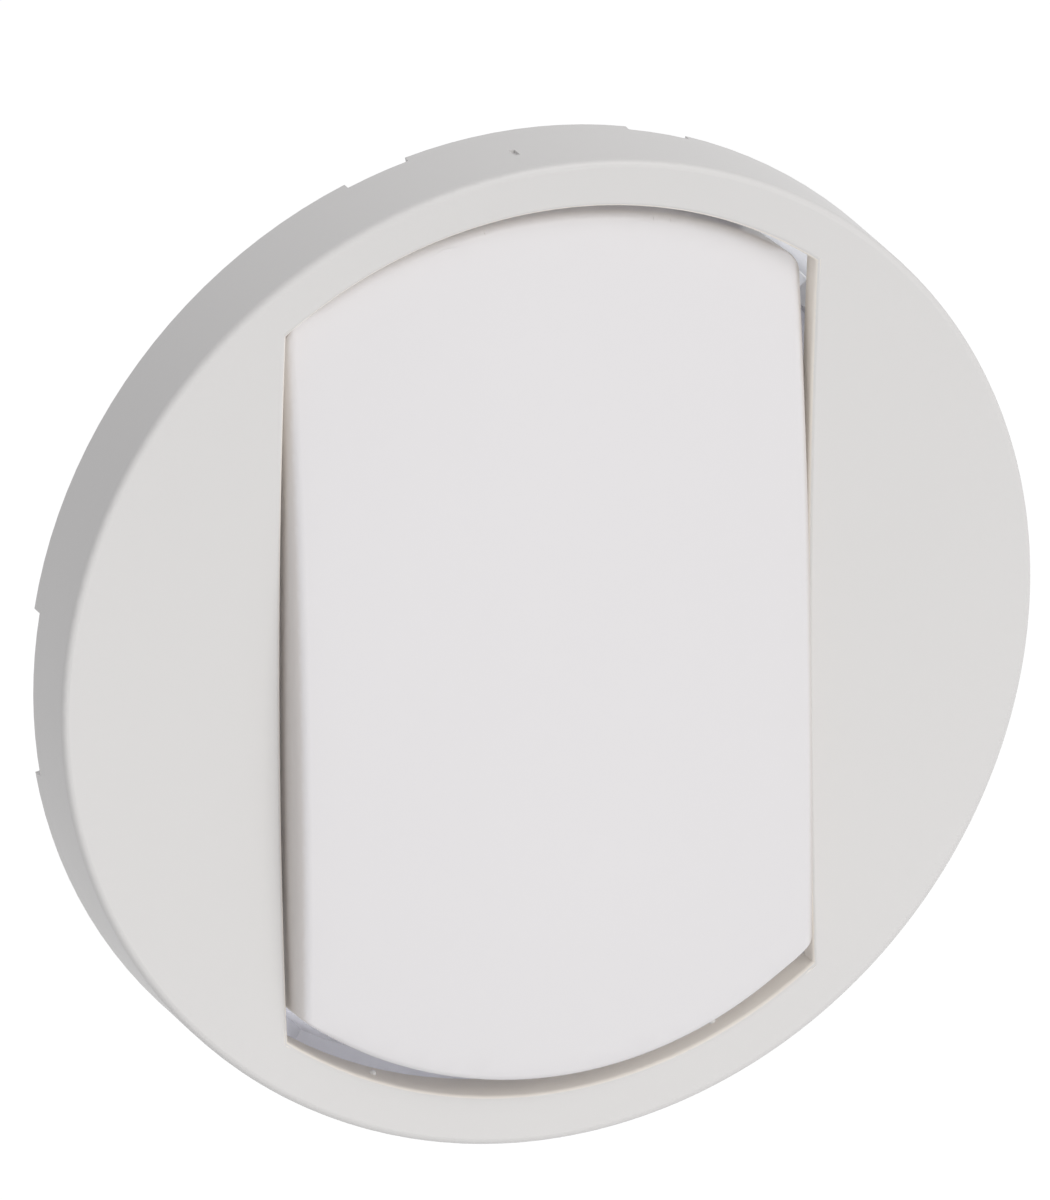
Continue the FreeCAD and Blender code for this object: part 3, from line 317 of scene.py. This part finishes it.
@dataclass(frozen=True)
class SheetMetal:
    """Rolled, drawn or stamped metal with fine lines and a faint tarnish."""

    name: str
    colour: Colour
    tarnish: Colour
    roughness: float
    brush: Brush
    line: float = 0.18 * MM
    line_depth: float = 0.004 * MM
    line_gloss: float = 0.22
    stain: float = 3.5 * MM
    stain_range: tuple[float, float] = (0.42, 0.72)
    stain_most: float = 0.6
    stain_gloss: float = 0.18

    def material(self) -> bpy.types.Material:
        """Builds the material.

        Returns:
            The material.
        """
        material, graph = new_material(self.name)
        place = graph.node("ShaderNodeTexCoord", output="Object")
        along = graph.node("ShaderNodeMapping", {}, {"Vector": place, "Scale": self.brush.value})
        lines = graph.noise(along, self.line, 3.0)
        stain = graph.noise(place, self.stain, 4.0)
        cover = graph.node("ShaderNodeMapRange", {}, {
            "Value": stain, "From Min": self.stain_range[0], "From Max": self.stain_range[1],
            "To Min": 0.0, "To Max": self.stain_most})
        colour = graph.blend(cover, self.colour, self.tarnish)
        roughness = self.roughness + self.line_gloss * (lines - 0.5) + self.stain_gloss * cover
        shader = graph.node("ShaderNodeBsdfPrincipled", {}, {
            "Base Color": colour,
            "Roughness": roughness,
            "Metallic": 1.0,
            "Normal": graph.bump(lines, self.line_depth, 1.0),
        })
        graph.node("ShaderNodeOutputMaterial", {}, {"Surface": shader})
        return material


# The ring's walls beside the window are painted paler and warmer: painted light on walls that lie in shade.
RING_PLASTIC = MouldedPlastic("ring_plastic", (0.760, 0.750, 0.739, 1.0), (0.748, 0.738, 0.727, 1.0),
                              0.42, 0.05, Grain.SATIN, painted_wall_shading=(1.0, 0.95, 0.875, 1.0))
# The key's side walls are painted darker: painted shade for the weaker light from the side.
KEY_PLASTIC = MouldedPlastic("key_plastic", (0.825, 0.811, 0.820, 1.0), (0.813, 0.799, 0.808, 1.0),
                             0.36, 0.05, Grain.SATIN, painted_wall_shading=(0.735, 0.700, 0.678, 1.0), painted_shading_face=Wall.SIDES)
FRAME_PLASTIC = MouldedPlastic("frame_plastic", (0.945, 0.945, 0.975, 1.0), (0.92, 0.92, 0.95, 1.0),
                               0.55, 0.10, Grain.MATT, through=0.75)
BASE_PLASTIC = MouldedPlastic("base_plastic", (0.54, 0.54, 0.54, 1.0), (0.48, 0.48, 0.485, 1.0),
                              0.52, 0.10, Grain.SPARKED)
PLUNGER_PLASTIC = MouldedPlastic("plunger_plastic", (0.66, 0.63, 0.55, 1.0), (0.61, 0.58, 0.50, 1.0),
                                 0.46, 0.08, Grain.MATT)
GUIDE_PLASTIC = MouldedPlastic("guide_plastic", (0.095, 0.10, 0.112, 1.0), (0.078, 0.082, 0.092, 1.0),
                               0.50, 0.10, Grain.MATT)
BUTTON_PLASTIC = MouldedPlastic("button_plastic", (0.30, 0.32, 0.355, 1.0), (0.265, 0.285, 0.315, 1.0),
                                0.48, 0.10, Grain.MATT)
SPRING_STEEL = SheetMetal("spring_steel", (0.50, 0.50, 0.51, 1.0), (0.40, 0.39, 0.38, 1.0), 0.30, Brush.DRAWN)
BAR_BRASS = SheetMetal("bar_brass", (0.64, 0.45, 0.17, 1.0), (0.46, 0.30, 0.11, 1.0), 0.32, Brush.ROLLED)
CONTACT_ALLOY = SheetMetal("contact_alloy", (0.66, 0.66, 0.65, 1.0), (0.50, 0.49, 0.46, 1.0), 0.28, Brush.STAMPED)

# The pips are real moulded bumps, painted whiter than the ring plastic they are moulded in: a painted highlight.
PIP_PAINTED_HIGHLIGHT = MouldedPlastic("pip_painted_highlight", (1.0, 0.995, 0.985, 1.0), (0.985, 0.98, 0.97, 1.0),
                             0.34, 0.05, Grain.SATIN, cloud=1.0 * MM)
FILM = MouldedPlastic("bay_film", (0.975, 0.98, 1.0, 1.0), (0.955, 0.96, 0.985, 1.0),
                      0.50, 0.10, Grain.MATT, cloud=6.0 * MM, through=0.85)

Finish = Union[MouldedPlastic, SheetMetal]


class FinishRack:
    """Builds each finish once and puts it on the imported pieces."""

    def __init__(self) -> None:
        """Starts with no finish built."""
        self._built: dict[str, bpy.types.Material] = {}

    def material(self, finish: Finish) -> bpy.types.Material:
        """Gives the material of a finish, built on its first use.

        Args:
            finish: The finish.

        Returns:
            Its material.
        """
        if finish.name not in self._built:
            self._built[finish.name] = finish.material()
        return self._built[finish.name]

    def put_on(self, node: str, finish: Finish) -> None:
        """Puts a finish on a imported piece.

        Args:
            node: Name of the piece.
            finish: Its finish.
        """
        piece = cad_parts[node]
        material = self.material(finish)
        if not piece.material_slots:
            piece.data.materials.append(material)
        for slot in piece.material_slots:
            slot.material = material
        LOG.info("%s: %s", node, finish.name)


def plain_mesh(name: str, places: bpy.types.Mesh, tree: bpy.types.NodeTree,
               values: dict[str, Any]) -> bpy.types.Object:
    """Runs a tree on a mesh and keeps the result as a plain piece at the origin.

    Args:
        name: Name of the piece.
        places: The mesh that the tree starts from.
        tree: The tree.
        values: Its inputs by their names.

    Returns:
        The piece.
    """
    host = bpy.data.objects.new(f"{name}_host", places)
    bpy.context.scene.collection.objects.link(host)
    modifier = host.modifiers.new(name, "NODES")
    modifier.node_group = tree
    for item in tree.interface.items_tree:
        if item.in_out == "INPUT" and item.name in values:
            modifier[item.identifier] = values[item.name]
    host.update_tag()
    bpy.context.view_layer.update()
    seen = host.evaluated_get(bpy.context.evaluated_depsgraph_get())
    mesh = bpy.data.meshes.new_from_object(seen)
    host.modifiers.remove(modifier)
    bpy.data.objects.remove(host)
    mesh.name = name
    piece = bpy.data.objects.new(name, mesh)
    bpy.context.scene.collection.objects.link(piece)
    return piece


def packed_copy(node: str, name: str, moved: Callable[[Vector], Vector]) -> bpy.types.Object:
    """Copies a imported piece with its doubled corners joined, so that the copy can change its shape.

    Args:
        node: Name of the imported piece.
        name: Name of the copy.
        moved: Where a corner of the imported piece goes.

    Returns:
        The copy, at the origin.
    """
    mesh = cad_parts[node].data.copy()
    mesh.name = name
    if "custom_normal" in mesh.attributes:
        mesh.attributes.remove(mesh.attributes["custom_normal"])
    work = bmesh.new()
    work.from_mesh(mesh)
    bmesh.ops.remove_doubles(work, verts=work.verts, dist=SAME_PLACE)
    for corner in work.verts:
        corner.co = moved(corner.co)
    work.to_mesh(mesh)
    work.free()
    mesh.shade_smooth()
    mesh.set_sharp_from_angle(angle=CREASE)
    piece = bpy.data.objects.new(name, mesh)
    bpy.context.scene.collection.objects.link(piece)
    return piece


@dataclass(frozen=True)
class Spot:
    """A place on a wall and the way that the wall faces there."""

    place: Point
    facing: Point


@dataclass(frozen=True)
class MouldedMark:
    """A small round mark that repeats: a domed pip, or the ring that an ejector pin leaves."""

    name: str
    radius: float
    height: float
    hollow: bool
    shoulder_height: float = 0.55
    shoulder_width: float = 0.78
    crown_width: float = 0.5

    def _shape(self, graph: Graph, radius: Signal, height: Signal) -> Signal:
        """Makes one mark, with its foot in the ground plane and its top along Z.

        Args:
            graph: The tree.
            radius: Radius of the foot.
            height: Height above the wall.

        Returns:
            The mesh.
        """
        if self.hollow:
            path = graph.node("GeometryNodeCurvePrimitiveCircle", {}, {"Resolution": 48, "Radius": radius}, "Curve")
            section = graph.node("GeometryNodeCurvePrimitiveCircle", {},
                                 {"Resolution": 10, "Radius": height}, "Curve")
            return graph.node("GeometryNodeCurveToMesh", {}, {"Curve": path, "Profile Curve": section}, "Mesh")
        foot = graph.node("GeometryNodeMeshCircle", {"fill_type": "NGON"},
                          {"Vertices": 12, "Radius": radius}, "Mesh")
        shoulder = graph.node("GeometryNodeExtrudeMesh", {"mode": "FACES"},
                              {"Mesh": foot, "Offset Scale": height * self.shoulder_height}, "Mesh")
        drawn = graph.node("GeometryNodeScaleElements", {"domain": "FACE"}, {
            "Geometry": shoulder, "Selection": shoulder.out("Top"), "Scale": self.shoulder_width}, "Geometry")
        crown = graph.node("GeometryNodeExtrudeMesh", {"mode": "FACES"}, {
            "Mesh": drawn, "Selection": shoulder.out("Top"),
            "Offset Scale": height * (1 - self.shoulder_height)}, "Mesh")
        rounded = graph.node("GeometryNodeScaleElements", {"domain": "FACE"}, {
            "Geometry": crown, "Selection": crown.out("Top"), "Scale": self.crown_width}, "Geometry")
        return graph.node("GeometryNodeSubdivisionSurface", {}, {"Mesh": rounded, "Level": 1}, "Mesh")

    def _tree(self) -> bpy.types.NodeTree:
        """Builds the tree that sets a mark on each vertex of its input, along the vertex's facing.

        Returns:
            The tree.
        """
        tree = bpy.data.node_groups.new(self.name, "GeometryNodeTree")
        for label, kind in (("Places", "NodeSocketGeometry"), ("Radius", "NodeSocketFloat"),
                            ("Height", "NodeSocketFloat"), ("Finish", "NodeSocketMaterial")):
            tree.interface.new_socket(label, in_out="INPUT", socket_type=kind)
        tree.interface.new_socket("Marks", in_out="OUTPUT", socket_type="NodeSocketGeometry")
        graph = Graph(tree)
        given = graph.node("NodeGroupInput", output="Places")
        facing = graph.node("GeometryNodeInputNamedAttribute", {"data_type": "FLOAT_VECTOR"},
                            {"Name": "facing"}, "Attribute")
        turn = graph.node("FunctionNodeAlignRotationToVector", {"axis": "Z"}, {"Vector": facing})
        placed = graph.node("GeometryNodeInstanceOnPoints", {}, {
            "Points": given,
            "Instance": self._shape(graph, given.out("Radius"), given.out("Height")),
            "Rotation": turn,
        })
        solid = graph.node("GeometryNodeRealizeInstances", {}, {"Geometry": placed})
        smooth = graph.node("GeometryNodeSetShadeSmooth", {}, {"Geometry": solid})
        finished = graph.node("GeometryNodeSetMaterial", {},
                              {"Geometry": smooth, "Material": given.out("Finish")})
        graph.node("NodeGroupOutput", {}, {"Marks": finished})
        return tree

    def set_out(self, spots: list[Spot], finish: bpy.types.Material) -> bpy.types.Object:
        """Makes one plain mesh of all the marks.

        Args:
            spots: Where the marks stand.
            finish: Their material.

        Returns:
            The piece, at the origin.
        """
        places = bpy.data.meshes.new(f"{self.name}_places")
        places.from_pydata([spot.place for spot in spots], [], [])
        facing = places.attributes.new("facing", "FLOAT_VECTOR", "POINT")
        for item, spot in zip(facing.data, spots):
            item.vector = spot.facing
        return plain_mesh(self.name, places, self._tree(),
                          {"Radius": self.radius, "Height": self.height, "Finish": finish})


@dataclass(frozen=True)
class BayFilm:
    """Films of one shape, one in each of the four bays of the frame, with their edges let into it."""

    name: str
    inner: float
    outer: float
    start: float
    end: float
    depth: float = 3.6 * MM
    thickness: float = 0.2 * MM

    def _tree(self) -> bpy.types.NodeTree:
        """Builds the tree that sets a curved strip at each vertex of its input, turned by the vertex's own angle.

        Returns:
            The tree.
        """
        tree = bpy.data.node_groups.new(self.name, "GeometryNodeTree")
        for label, kind in (("Places", "NodeSocketGeometry"), ("Radius", "NodeSocketFloat"),
                            ("Width", "NodeSocketFloat"), ("Thickness", "NodeSocketFloat"),
                            ("Spread", "NodeSocketFloat"), ("Finish", "NodeSocketMaterial")):
            tree.interface.new_socket(label, in_out="INPUT", socket_type=kind)
        tree.interface.new_socket("Films", in_out="OUTPUT", socket_type="NodeSocketGeometry")
        graph = Graph(tree)
        given = graph.node("NodeGroupInput", output="Places")
        spread = given.out("Spread")
        arc = graph.node("GeometryNodeCurveArc", {"mode": "RADIUS"}, {
            "Resolution": 24, "Radius": given.out("Radius"),
            "Start Angle": spread * -0.5, "Sweep Angle": spread}, "Curve")
        section = graph.node("GeometryNodeCurvePrimitiveQuadrilateral", {"mode": "RECTANGLE"}, {
            "Width": given.out("Width"), "Height": given.out("Thickness")}, "Curve")
        strip = graph.node("GeometryNodeCurveToMesh", {}, {
            "Curve": arc, "Profile Curve": section, "Fill Caps": True}, "Mesh")
        angle = graph.node("GeometryNodeInputNamedAttribute", {"data_type": "FLOAT_VECTOR"},
                           {"Name": "turn"}, "Attribute")
        placed = graph.node("GeometryNodeInstanceOnPoints", {}, {
            "Points": given, "Instance": strip,
            "Rotation": graph.node("FunctionNodeEulerToRotation", {}, {"Euler": angle})})
        solid = graph.node("GeometryNodeRealizeInstances", {}, {"Geometry": placed})
        finished = graph.node("GeometryNodeSetMaterial", {},
                              {"Geometry": solid, "Material": given.out("Finish")})
        graph.node("NodeGroupOutput", {}, {"Films": finished})
        return tree

    def set_out(self, finish: bpy.types.Material) -> bpy.types.Object:
        """Makes one plain mesh of the four films.

        Args:
            finish: Their material.

        Returns:
            The piece, at the origin.
        """
        middle = (self.start + self.end) / 2
        angles = [middle, 180 - middle, 180 + middle, 360 - middle]
        places = bpy.data.meshes.new(f"{self.name}_places")
        places.from_pydata([(0.0, self.depth, 0.0)] * len(angles), [], [])
        turn = places.attributes.new("turn", "FLOAT_VECTOR", "POINT")
        for item, angle in zip(turn.data, angles):
            item.vector = (math.pi / 2, -math.radians(angle), 0.0)
        return plain_mesh(self.name, places, self._tree(), {
            "Radius": (self.inner + self.outer) / 2,
            "Width": self.outer - self.inner,
            "Thickness": self.thickness,
            "Spread": math.radians(self.end - self.start),
            "Finish": finish,
        })


@dataclass
class CoverDisc:
    """The dished disc with the lens window, and the pips on the end walls of the window."""

    window_radius: float = 29.9 * MM
    pip_across: float = 11.65 * MM
    pip_depth: float = -4.70 * MM
    pip_radius: float = 0.26 * MM
    pip_height: float = 0.26 * MM

    def pip_spots(self) -> list[Spot]:
        """Places the pips: two on each end wall.

        Returns:
            The places.
        """
        level = math.sqrt(self.window_radius ** 2 - self.pip_across ** 2)
        spots = []
        for across in (-self.pip_across, self.pip_across):
            for end in (-level, level):
                inward = (-across / self.window_radius, 0.0, -end / self.window_radius)
                spots.append(Spot((across, self.pip_depth, end), inward))
        return spots

    def build(self, rack: FinishRack) -> None:
        """Dresses the disc and sets its pips.

        Args:
            rack: The finishes.
        """
        rack.put_on("trim_ring", RING_PLASTIC)
        mark = MouldedMark("window_pips", self.pip_radius, self.pip_height, hollow=False)
        pips = mark.set_out(self.pip_spots(), rack.material(PIP_PAINTED_HIGHLIGHT))
        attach(pips, "housing")
        LOG.info("%s: %d marks", pips.name, len(self.pip_spots()))


@dataclass
class RockingKey:
    """The crowned key and the actuator that it is clipped on.

    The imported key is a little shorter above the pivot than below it, and its ends have a fine edge. The key cap
    is that key with its upper end drawn out towards the window and rounded at its corners, and with softer ends.
    """

    tilt: float = 3.2
    drawn_from: float = 10.0 * MM
    drawn_full: float = 20.5 * MM
    middle_draw: float = 0.56 * MM
    corner_draw: float = 0.95 * MM
    corner_round: float = 1.2 * MM
    half_width: float = 17.68 * MM
    end_radius: float = 27.65 * MM
    end_centres: tuple[float, float] = (-0.98 * MM, 0.42 * MM)
    fine_edge: float = 0.2 * MM
    soft_edges: tuple[float, float] = (0.4 * MM, 0.7 * MM)
    soft_width: float = 15.0 * MM
    side_edge: float = 1.1 * MM
    edge_reach: float = 1.05
    edge_slack: float = 0.1
    height: float = 7.85 * MM
    crown_across: float = 161.0 * MM
    crown_along: float = 333.0 * MM

    def _face(self, across: float, along: float) -> float:
        """Depth of the crowned face at a place on it."""
        return across ** 2 / (2 * self.crown_across) + along ** 2 / (2 * self.crown_along) - self.height

    def _soften(self, across: float, depth: float, along: float) -> tuple[float, float, float]:
        """Widens the fine edge round an end of the key.

        Args:
            across: Place of a point from side to side.
            depth: Its depth, square to the key.
            along: Its place along the key.

        Returns:
            Where the point goes, in the same order.
        """
        upper = int(along > 0)
        centre = self.end_centres[upper]
        reach = math.hypot(across, along - centre)
        inside = self.end_radius - reach
        behind = depth - self._face(across, along)
        limit = self.edge_reach * self.fine_edge
        least = -self.edge_slack * limit
        if not (least < inside < limit and least < behind < limit):
            return across, depth, along
        fading = self.half_width - self.side_edge - self.soft_width
        share = min(max((abs(across) - self.soft_width) / fading, 0.0), 1.0)
        growth = 1 + (self.soft_edges[upper] / self.fine_edge - 1) * (1 - share * share * (3 - 2 * share))
        scale = (self.end_radius - inside * growth) / reach
        moved_across = across * scale
        moved_along = centre + (along - centre) * scale
        return moved_across, self._face(moved_across, moved_along) + behind * growth, moved_along

    def _draw(self, across: float, along: float) -> float:
        """How far a point moves towards the upper end.

        Args:
            across: Its place from side to side.
            along: Its place along the key.

        Returns:
            The move, in metres.
        """
        share = min(max((along - self.drawn_from) / (self.drawn_full - self.drawn_from), 0.0), 1.0)
        eased = share * share * (3 - 2 * share)
        beyond = max(abs(across) - self.half_width + self.corner_round, 0.0)
        rounded_off = self.corner_round - math.sqrt(max(self.corner_round ** 2 - beyond ** 2, 0.0))
        return eased * (self.middle_draw + self.corner_draw * (across / self.half_width) ** 2 - rounded_off)

    def _moved(self, corner: Vector) -> Vector:
        """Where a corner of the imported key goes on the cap.

        Args:
            corner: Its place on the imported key.

        Returns:
            Its place on the cap.
        """
        turn = math.radians(self.tilt)
        lengthways = Vector((0.0, math.sin(turn), math.cos(turn)))
        inwards = Vector((0.0, math.cos(turn), -math.sin(turn)))
        across, depth, along = self._soften(corner.x, corner.dot(inwards), corner.dot(lengthways))
        drawn = along + self._draw(across, along)
        depth += self._face(across, drawn) - self._face(across, along)
        return Vector((across, 0.0, 0.0)) + depth * inwards + drawn * lengthways

    def build(self, rack: FinishRack) -> None:
        """Makes the cap and dresses both pieces.

        Args:
            rack: The finishes.
        """
        rack.put_on("key_actuator", FRAME_PLASTIC)
        cap = packed_copy("rocker_key", "key_cap", self._moved)
        cap.data.materials.clear()
        cap.data.materials.append(rack.material(KEY_PLASTIC))
        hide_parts("rocker_key")
        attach(cap, "key")
        LOG.info("%s: %d corners", cap.name, len(cap.data.vertices))


@dataclass
class Carrier:
    """The frame with its bay films, and the base with the marks of the ejector pins."""

    pin_across: float = 12.6 * MM
    pin_low: float = -12.6 * MM
    pin_radius: float = 1.5 * MM
    pin_line: float = 0.05 * MM
    films: tuple[BayFilm, ...] = (
        BayFilm("inner_films", 26.4 * MM, 28.48 * MM, 41.2, 59.3),
        BayFilm("outer_films", 28.52 * MM, 30.05 * MM, 22.7, 59.3),
    )

    def pin_spots(self) -> list[Spot]:
        """Places the ejector marks on the flat back of the base.

        Returns:
            The places.
        """
        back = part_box("base_housing")[1][1]
        outward = (0.0, 1.0, 0.0)
        places = [(-self.pin_across, self.pin_low), (self.pin_across, self.pin_low), (0.0, self.pin_low)]
        return [Spot((across, back, level), outward) for across, level in places]

    def build(self, rack: FinishRack) -> None:
        """Dresses the frame and the base, and sets the marks.

        Args:
            rack: The finishes.
        """
        rack.put_on("front_frame", FRAME_PLASTIC)
        rack.put_on("base_housing", BASE_PLASTIC)
        mark = MouldedMark("ejector_marks", self.pin_radius, self.pin_line, hollow=True)
        rings = mark.set_out(self.pin_spots(), rack.material(BASE_PLASTIC))
        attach(rings, "housing")
        LOG.info("%s: %d marks", rings.name, len(self.pin_spots()))
        for film in self.films:
            piece = film.set_out(rack.material(FILM))
            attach(piece, "housing")
            LOG.info("%s: %d corners", piece.name, len(piece.data.vertices))


@dataclass
class ContactSet:
    """The sprung plunger, its contact bridge, and the return spring that shortens under them."""

    spring_seat: float = 16.4 * MM
    pressed_share: float = 0.775

    def _return_coil(self, rack: FinishRack) -> None:
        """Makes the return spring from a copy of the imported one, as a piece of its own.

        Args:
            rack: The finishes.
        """
        coil = packed_copy("return_spring", "return_coil", lambda corner: corner)
        coil.data.materials.clear()
        coil.data.materials.append(rack.material(SPRING_STEEL))
        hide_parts("return_spring")
        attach(coil, "housing")
        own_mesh(coil)
        LOG.info("%s: %d corners", coil.name, len(coil.data.vertices))

    def build(self, rack: FinishRack) -> None:
        """Dresses the moving contact and the springs.

        Args:
            rack: The finishes.
        """
        rack.put_on("plunger", PLUNGER_PLASTIC)
        rack.put_on("bridge_clip", SPRING_STEEL)
        rack.put_on("contact_bridge", BAR_BRASS)
        rack.put_on("bridge_contacts", CONTACT_ALLOY)
        rack.put_on("fixed_contacts", CONTACT_ALLOY)
        rack.put_on("contact_spring", SPRING_STEEL)
        self._return_coil(rack)


@dataclass
class TerminalPole:
    """One pole of the push-in terminals: bar, clamp springs, wire guide and release button."""

    side: Side

    def build(self, rack: FinishRack) -> None:
        """Dresses the pieces of this pole.

        Args:
            rack: The finishes.
        """
        rack.put_on(f"{self.side.value}_terminal_bar", BAR_BRASS)
        rack.put_on(f"{self.side.value}_clamp_springs", SPRING_STEEL)
        rack.put_on(f"{self.side.value}_wire_guide", GUIDE_PLASTIC)
        rack.put_on(f"{self.side.value}_release_button", BUTTON_PLASTIC)


@dataclass(frozen=True)
class SoftLamp:
    """A square lamp that looks at the object."""

    name: str
    direction: Point
    distance: float
    size: float
    level: float
    tint: Point = (1.0, 1.0, 1.0)

    def build(self) -> bpy.types.Object:
        """Hangs the lamp.

        Returns:
            The lamp.
        """
        light = bpy.data.lights.new(self.name, "AREA")
        light.shape = "SQUARE"
        light.size = self.size
        light.energy = self.level * math.pi ** 2 * self.distance ** 2
        light.color = self.tint
        lamp = bpy.data.objects.new(self.name, light)
        way = Vector(self.direction).normalized()
        lamp.location = way * self.distance
        lamp.rotation_euler = way.to_track_quat("Z", "Y").to_euler()
        bpy.context.scene.collection.objects.link(lamp)
        return lamp


@dataclass
class Studio:
    """The pale floor, the soft light around and the camera."""

    floor_level: float = -0.30
    floor_half: float = 5.0
    floor_pale: Colour = (0.80, 0.80, 0.80, 1.0)
    floor_shadow: Colour = (0.25, 0.25, 0.25, 1.0)
    floor_glow: float = 0.88
    white: Colour = (1.0, 1.0, 1.0, 1.0)
    around: float = 0.52
    around_tint: Colour = (0.985, 0.982, 1.0, 1.0)
    lamps: tuple[SoftLamp, ...] = (
        SoftLamp("front_lamp", (0.394, -0.682, 0.616), 1.7, 1.0, 0.33, (1.0, 0.985, 0.965)),
        SoftLamp("low_lamp", (0.10, -0.90, -0.40), 0.6, 0.5, 0.29),
    )
    camera_place: Point = (-0.69148553, -1.69287545, 0.71588446)
    camera_turn: Point = (68.65579986, -0.04212582, -22.22176812)
    camera_lens: float = 1062.86

    @staticmethod
    def _seen(graph: Graph) -> Signal:
        """Tells the rays that show the background: straight, mirrored or through glass.

        Args:
            graph: The tree.

        Returns:
            1 for those rays, 0 for the others.
        """
        path = graph.node("ShaderNodeLightPath", output="Is Camera Ray")
        mirrored = graph.math("MAXIMUM", path, path.out("Is Glossy Ray"))
        return graph.math("MAXIMUM", mirrored, path.out("Is Transmission Ray"))

    def build_floor(self) -> None:
        """Lays the floor, white to the eye and pale to the light, with a faint shadow."""
        half = self.floor_half
        mesh = bpy.data.meshes.new("floor")
        mesh.from_pydata([(-half, -half, self.floor_level), (half, -half, self.floor_level),
                          (half, half, self.floor_level), (-half, half, self.floor_level)], [], [(0, 1, 2, 3)])
        material, graph = new_material("floor_paper")
        pale = graph.node("ShaderNodeBsdfDiffuse", {}, {"Color": self.floor_pale})
        shadow = graph.node("ShaderNodeBsdfDiffuse", {}, {"Color": self.floor_shadow})
        white = graph.node("ShaderNodeEmission", {}, {"Color": self.white, "Strength": self.floor_glow})
        shown = graph.node("ShaderNodeAddShader", {}, {0: shadow, 1: white})
        surface = graph.node("ShaderNodeMixShader", {}, {"Fac": self._seen(graph), 1: pale, 2: shown})
        graph.node("ShaderNodeOutputMaterial", {}, {"Surface": surface})
        mesh.materials.append(material)
        floor = bpy.data.objects.new("floor", mesh)
        bpy.context.scene.collection.objects.link(floor)

    def build_world(self) -> None:
        """Sets a white background and an even soft light."""
        world = bpy.data.worlds.new("studio")
        world.use_nodes = True
        graph = Graph(world.node_tree)
        light = graph.node("ShaderNodeBackground", {}, {"Color": self.around_tint, "Strength": self.around})
        white = graph.node("ShaderNodeBackground", {}, {"Color": self.white, "Strength": 1.0})
        surface = graph.node("ShaderNodeMixShader", {}, {"Fac": self._seen(graph), 1: light, 2: white})
        graph.node("ShaderNodeOutputWorld", {}, {"Surface": surface})
        bpy.context.scene.world = world

    def build_camera(self) -> None:
        """Places the camera at the photograph's viewing angle."""
        data = bpy.data.cameras.new("camera")
        data.sensor_fit = "HORIZONTAL"
        data.sensor_width = 36.0
        data.lens = self.camera_lens
        data.clip_end = 50.0
        camera = bpy.data.objects.new("camera", data)
        camera.location = self.camera_place
        camera.rotation_euler = Euler([math.radians(angle) for angle in self.camera_turn], "XYZ")
        bpy.context.scene.collection.objects.link(camera)
        bpy.context.scene.camera = camera

    def build(self) -> None:
        """Sets up the whole studio."""
        bpy.context.scene.view_settings.view_transform = "Standard"
        self.build_floor()
        self.build_world()
        for lamp in self.lamps:
            lamp.build()
        self.build_camera()
        LOG.info("studio: floor, world, %d lamps and camera", len(self.lamps))


def main() -> None:
    """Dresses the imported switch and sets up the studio."""
    logging.basicConfig(level=logging.INFO, format="%(message)s")
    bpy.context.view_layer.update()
    rack = FinishRack()
    CoverDisc().build(rack)
    RockingKey().build(rack)
    Carrier().build(rack)
    ContactSet().build(rack)
    for side in Side:
        TerminalPole(side).build(rack)
    Studio().build()


if __name__ == "__main__":
    main()
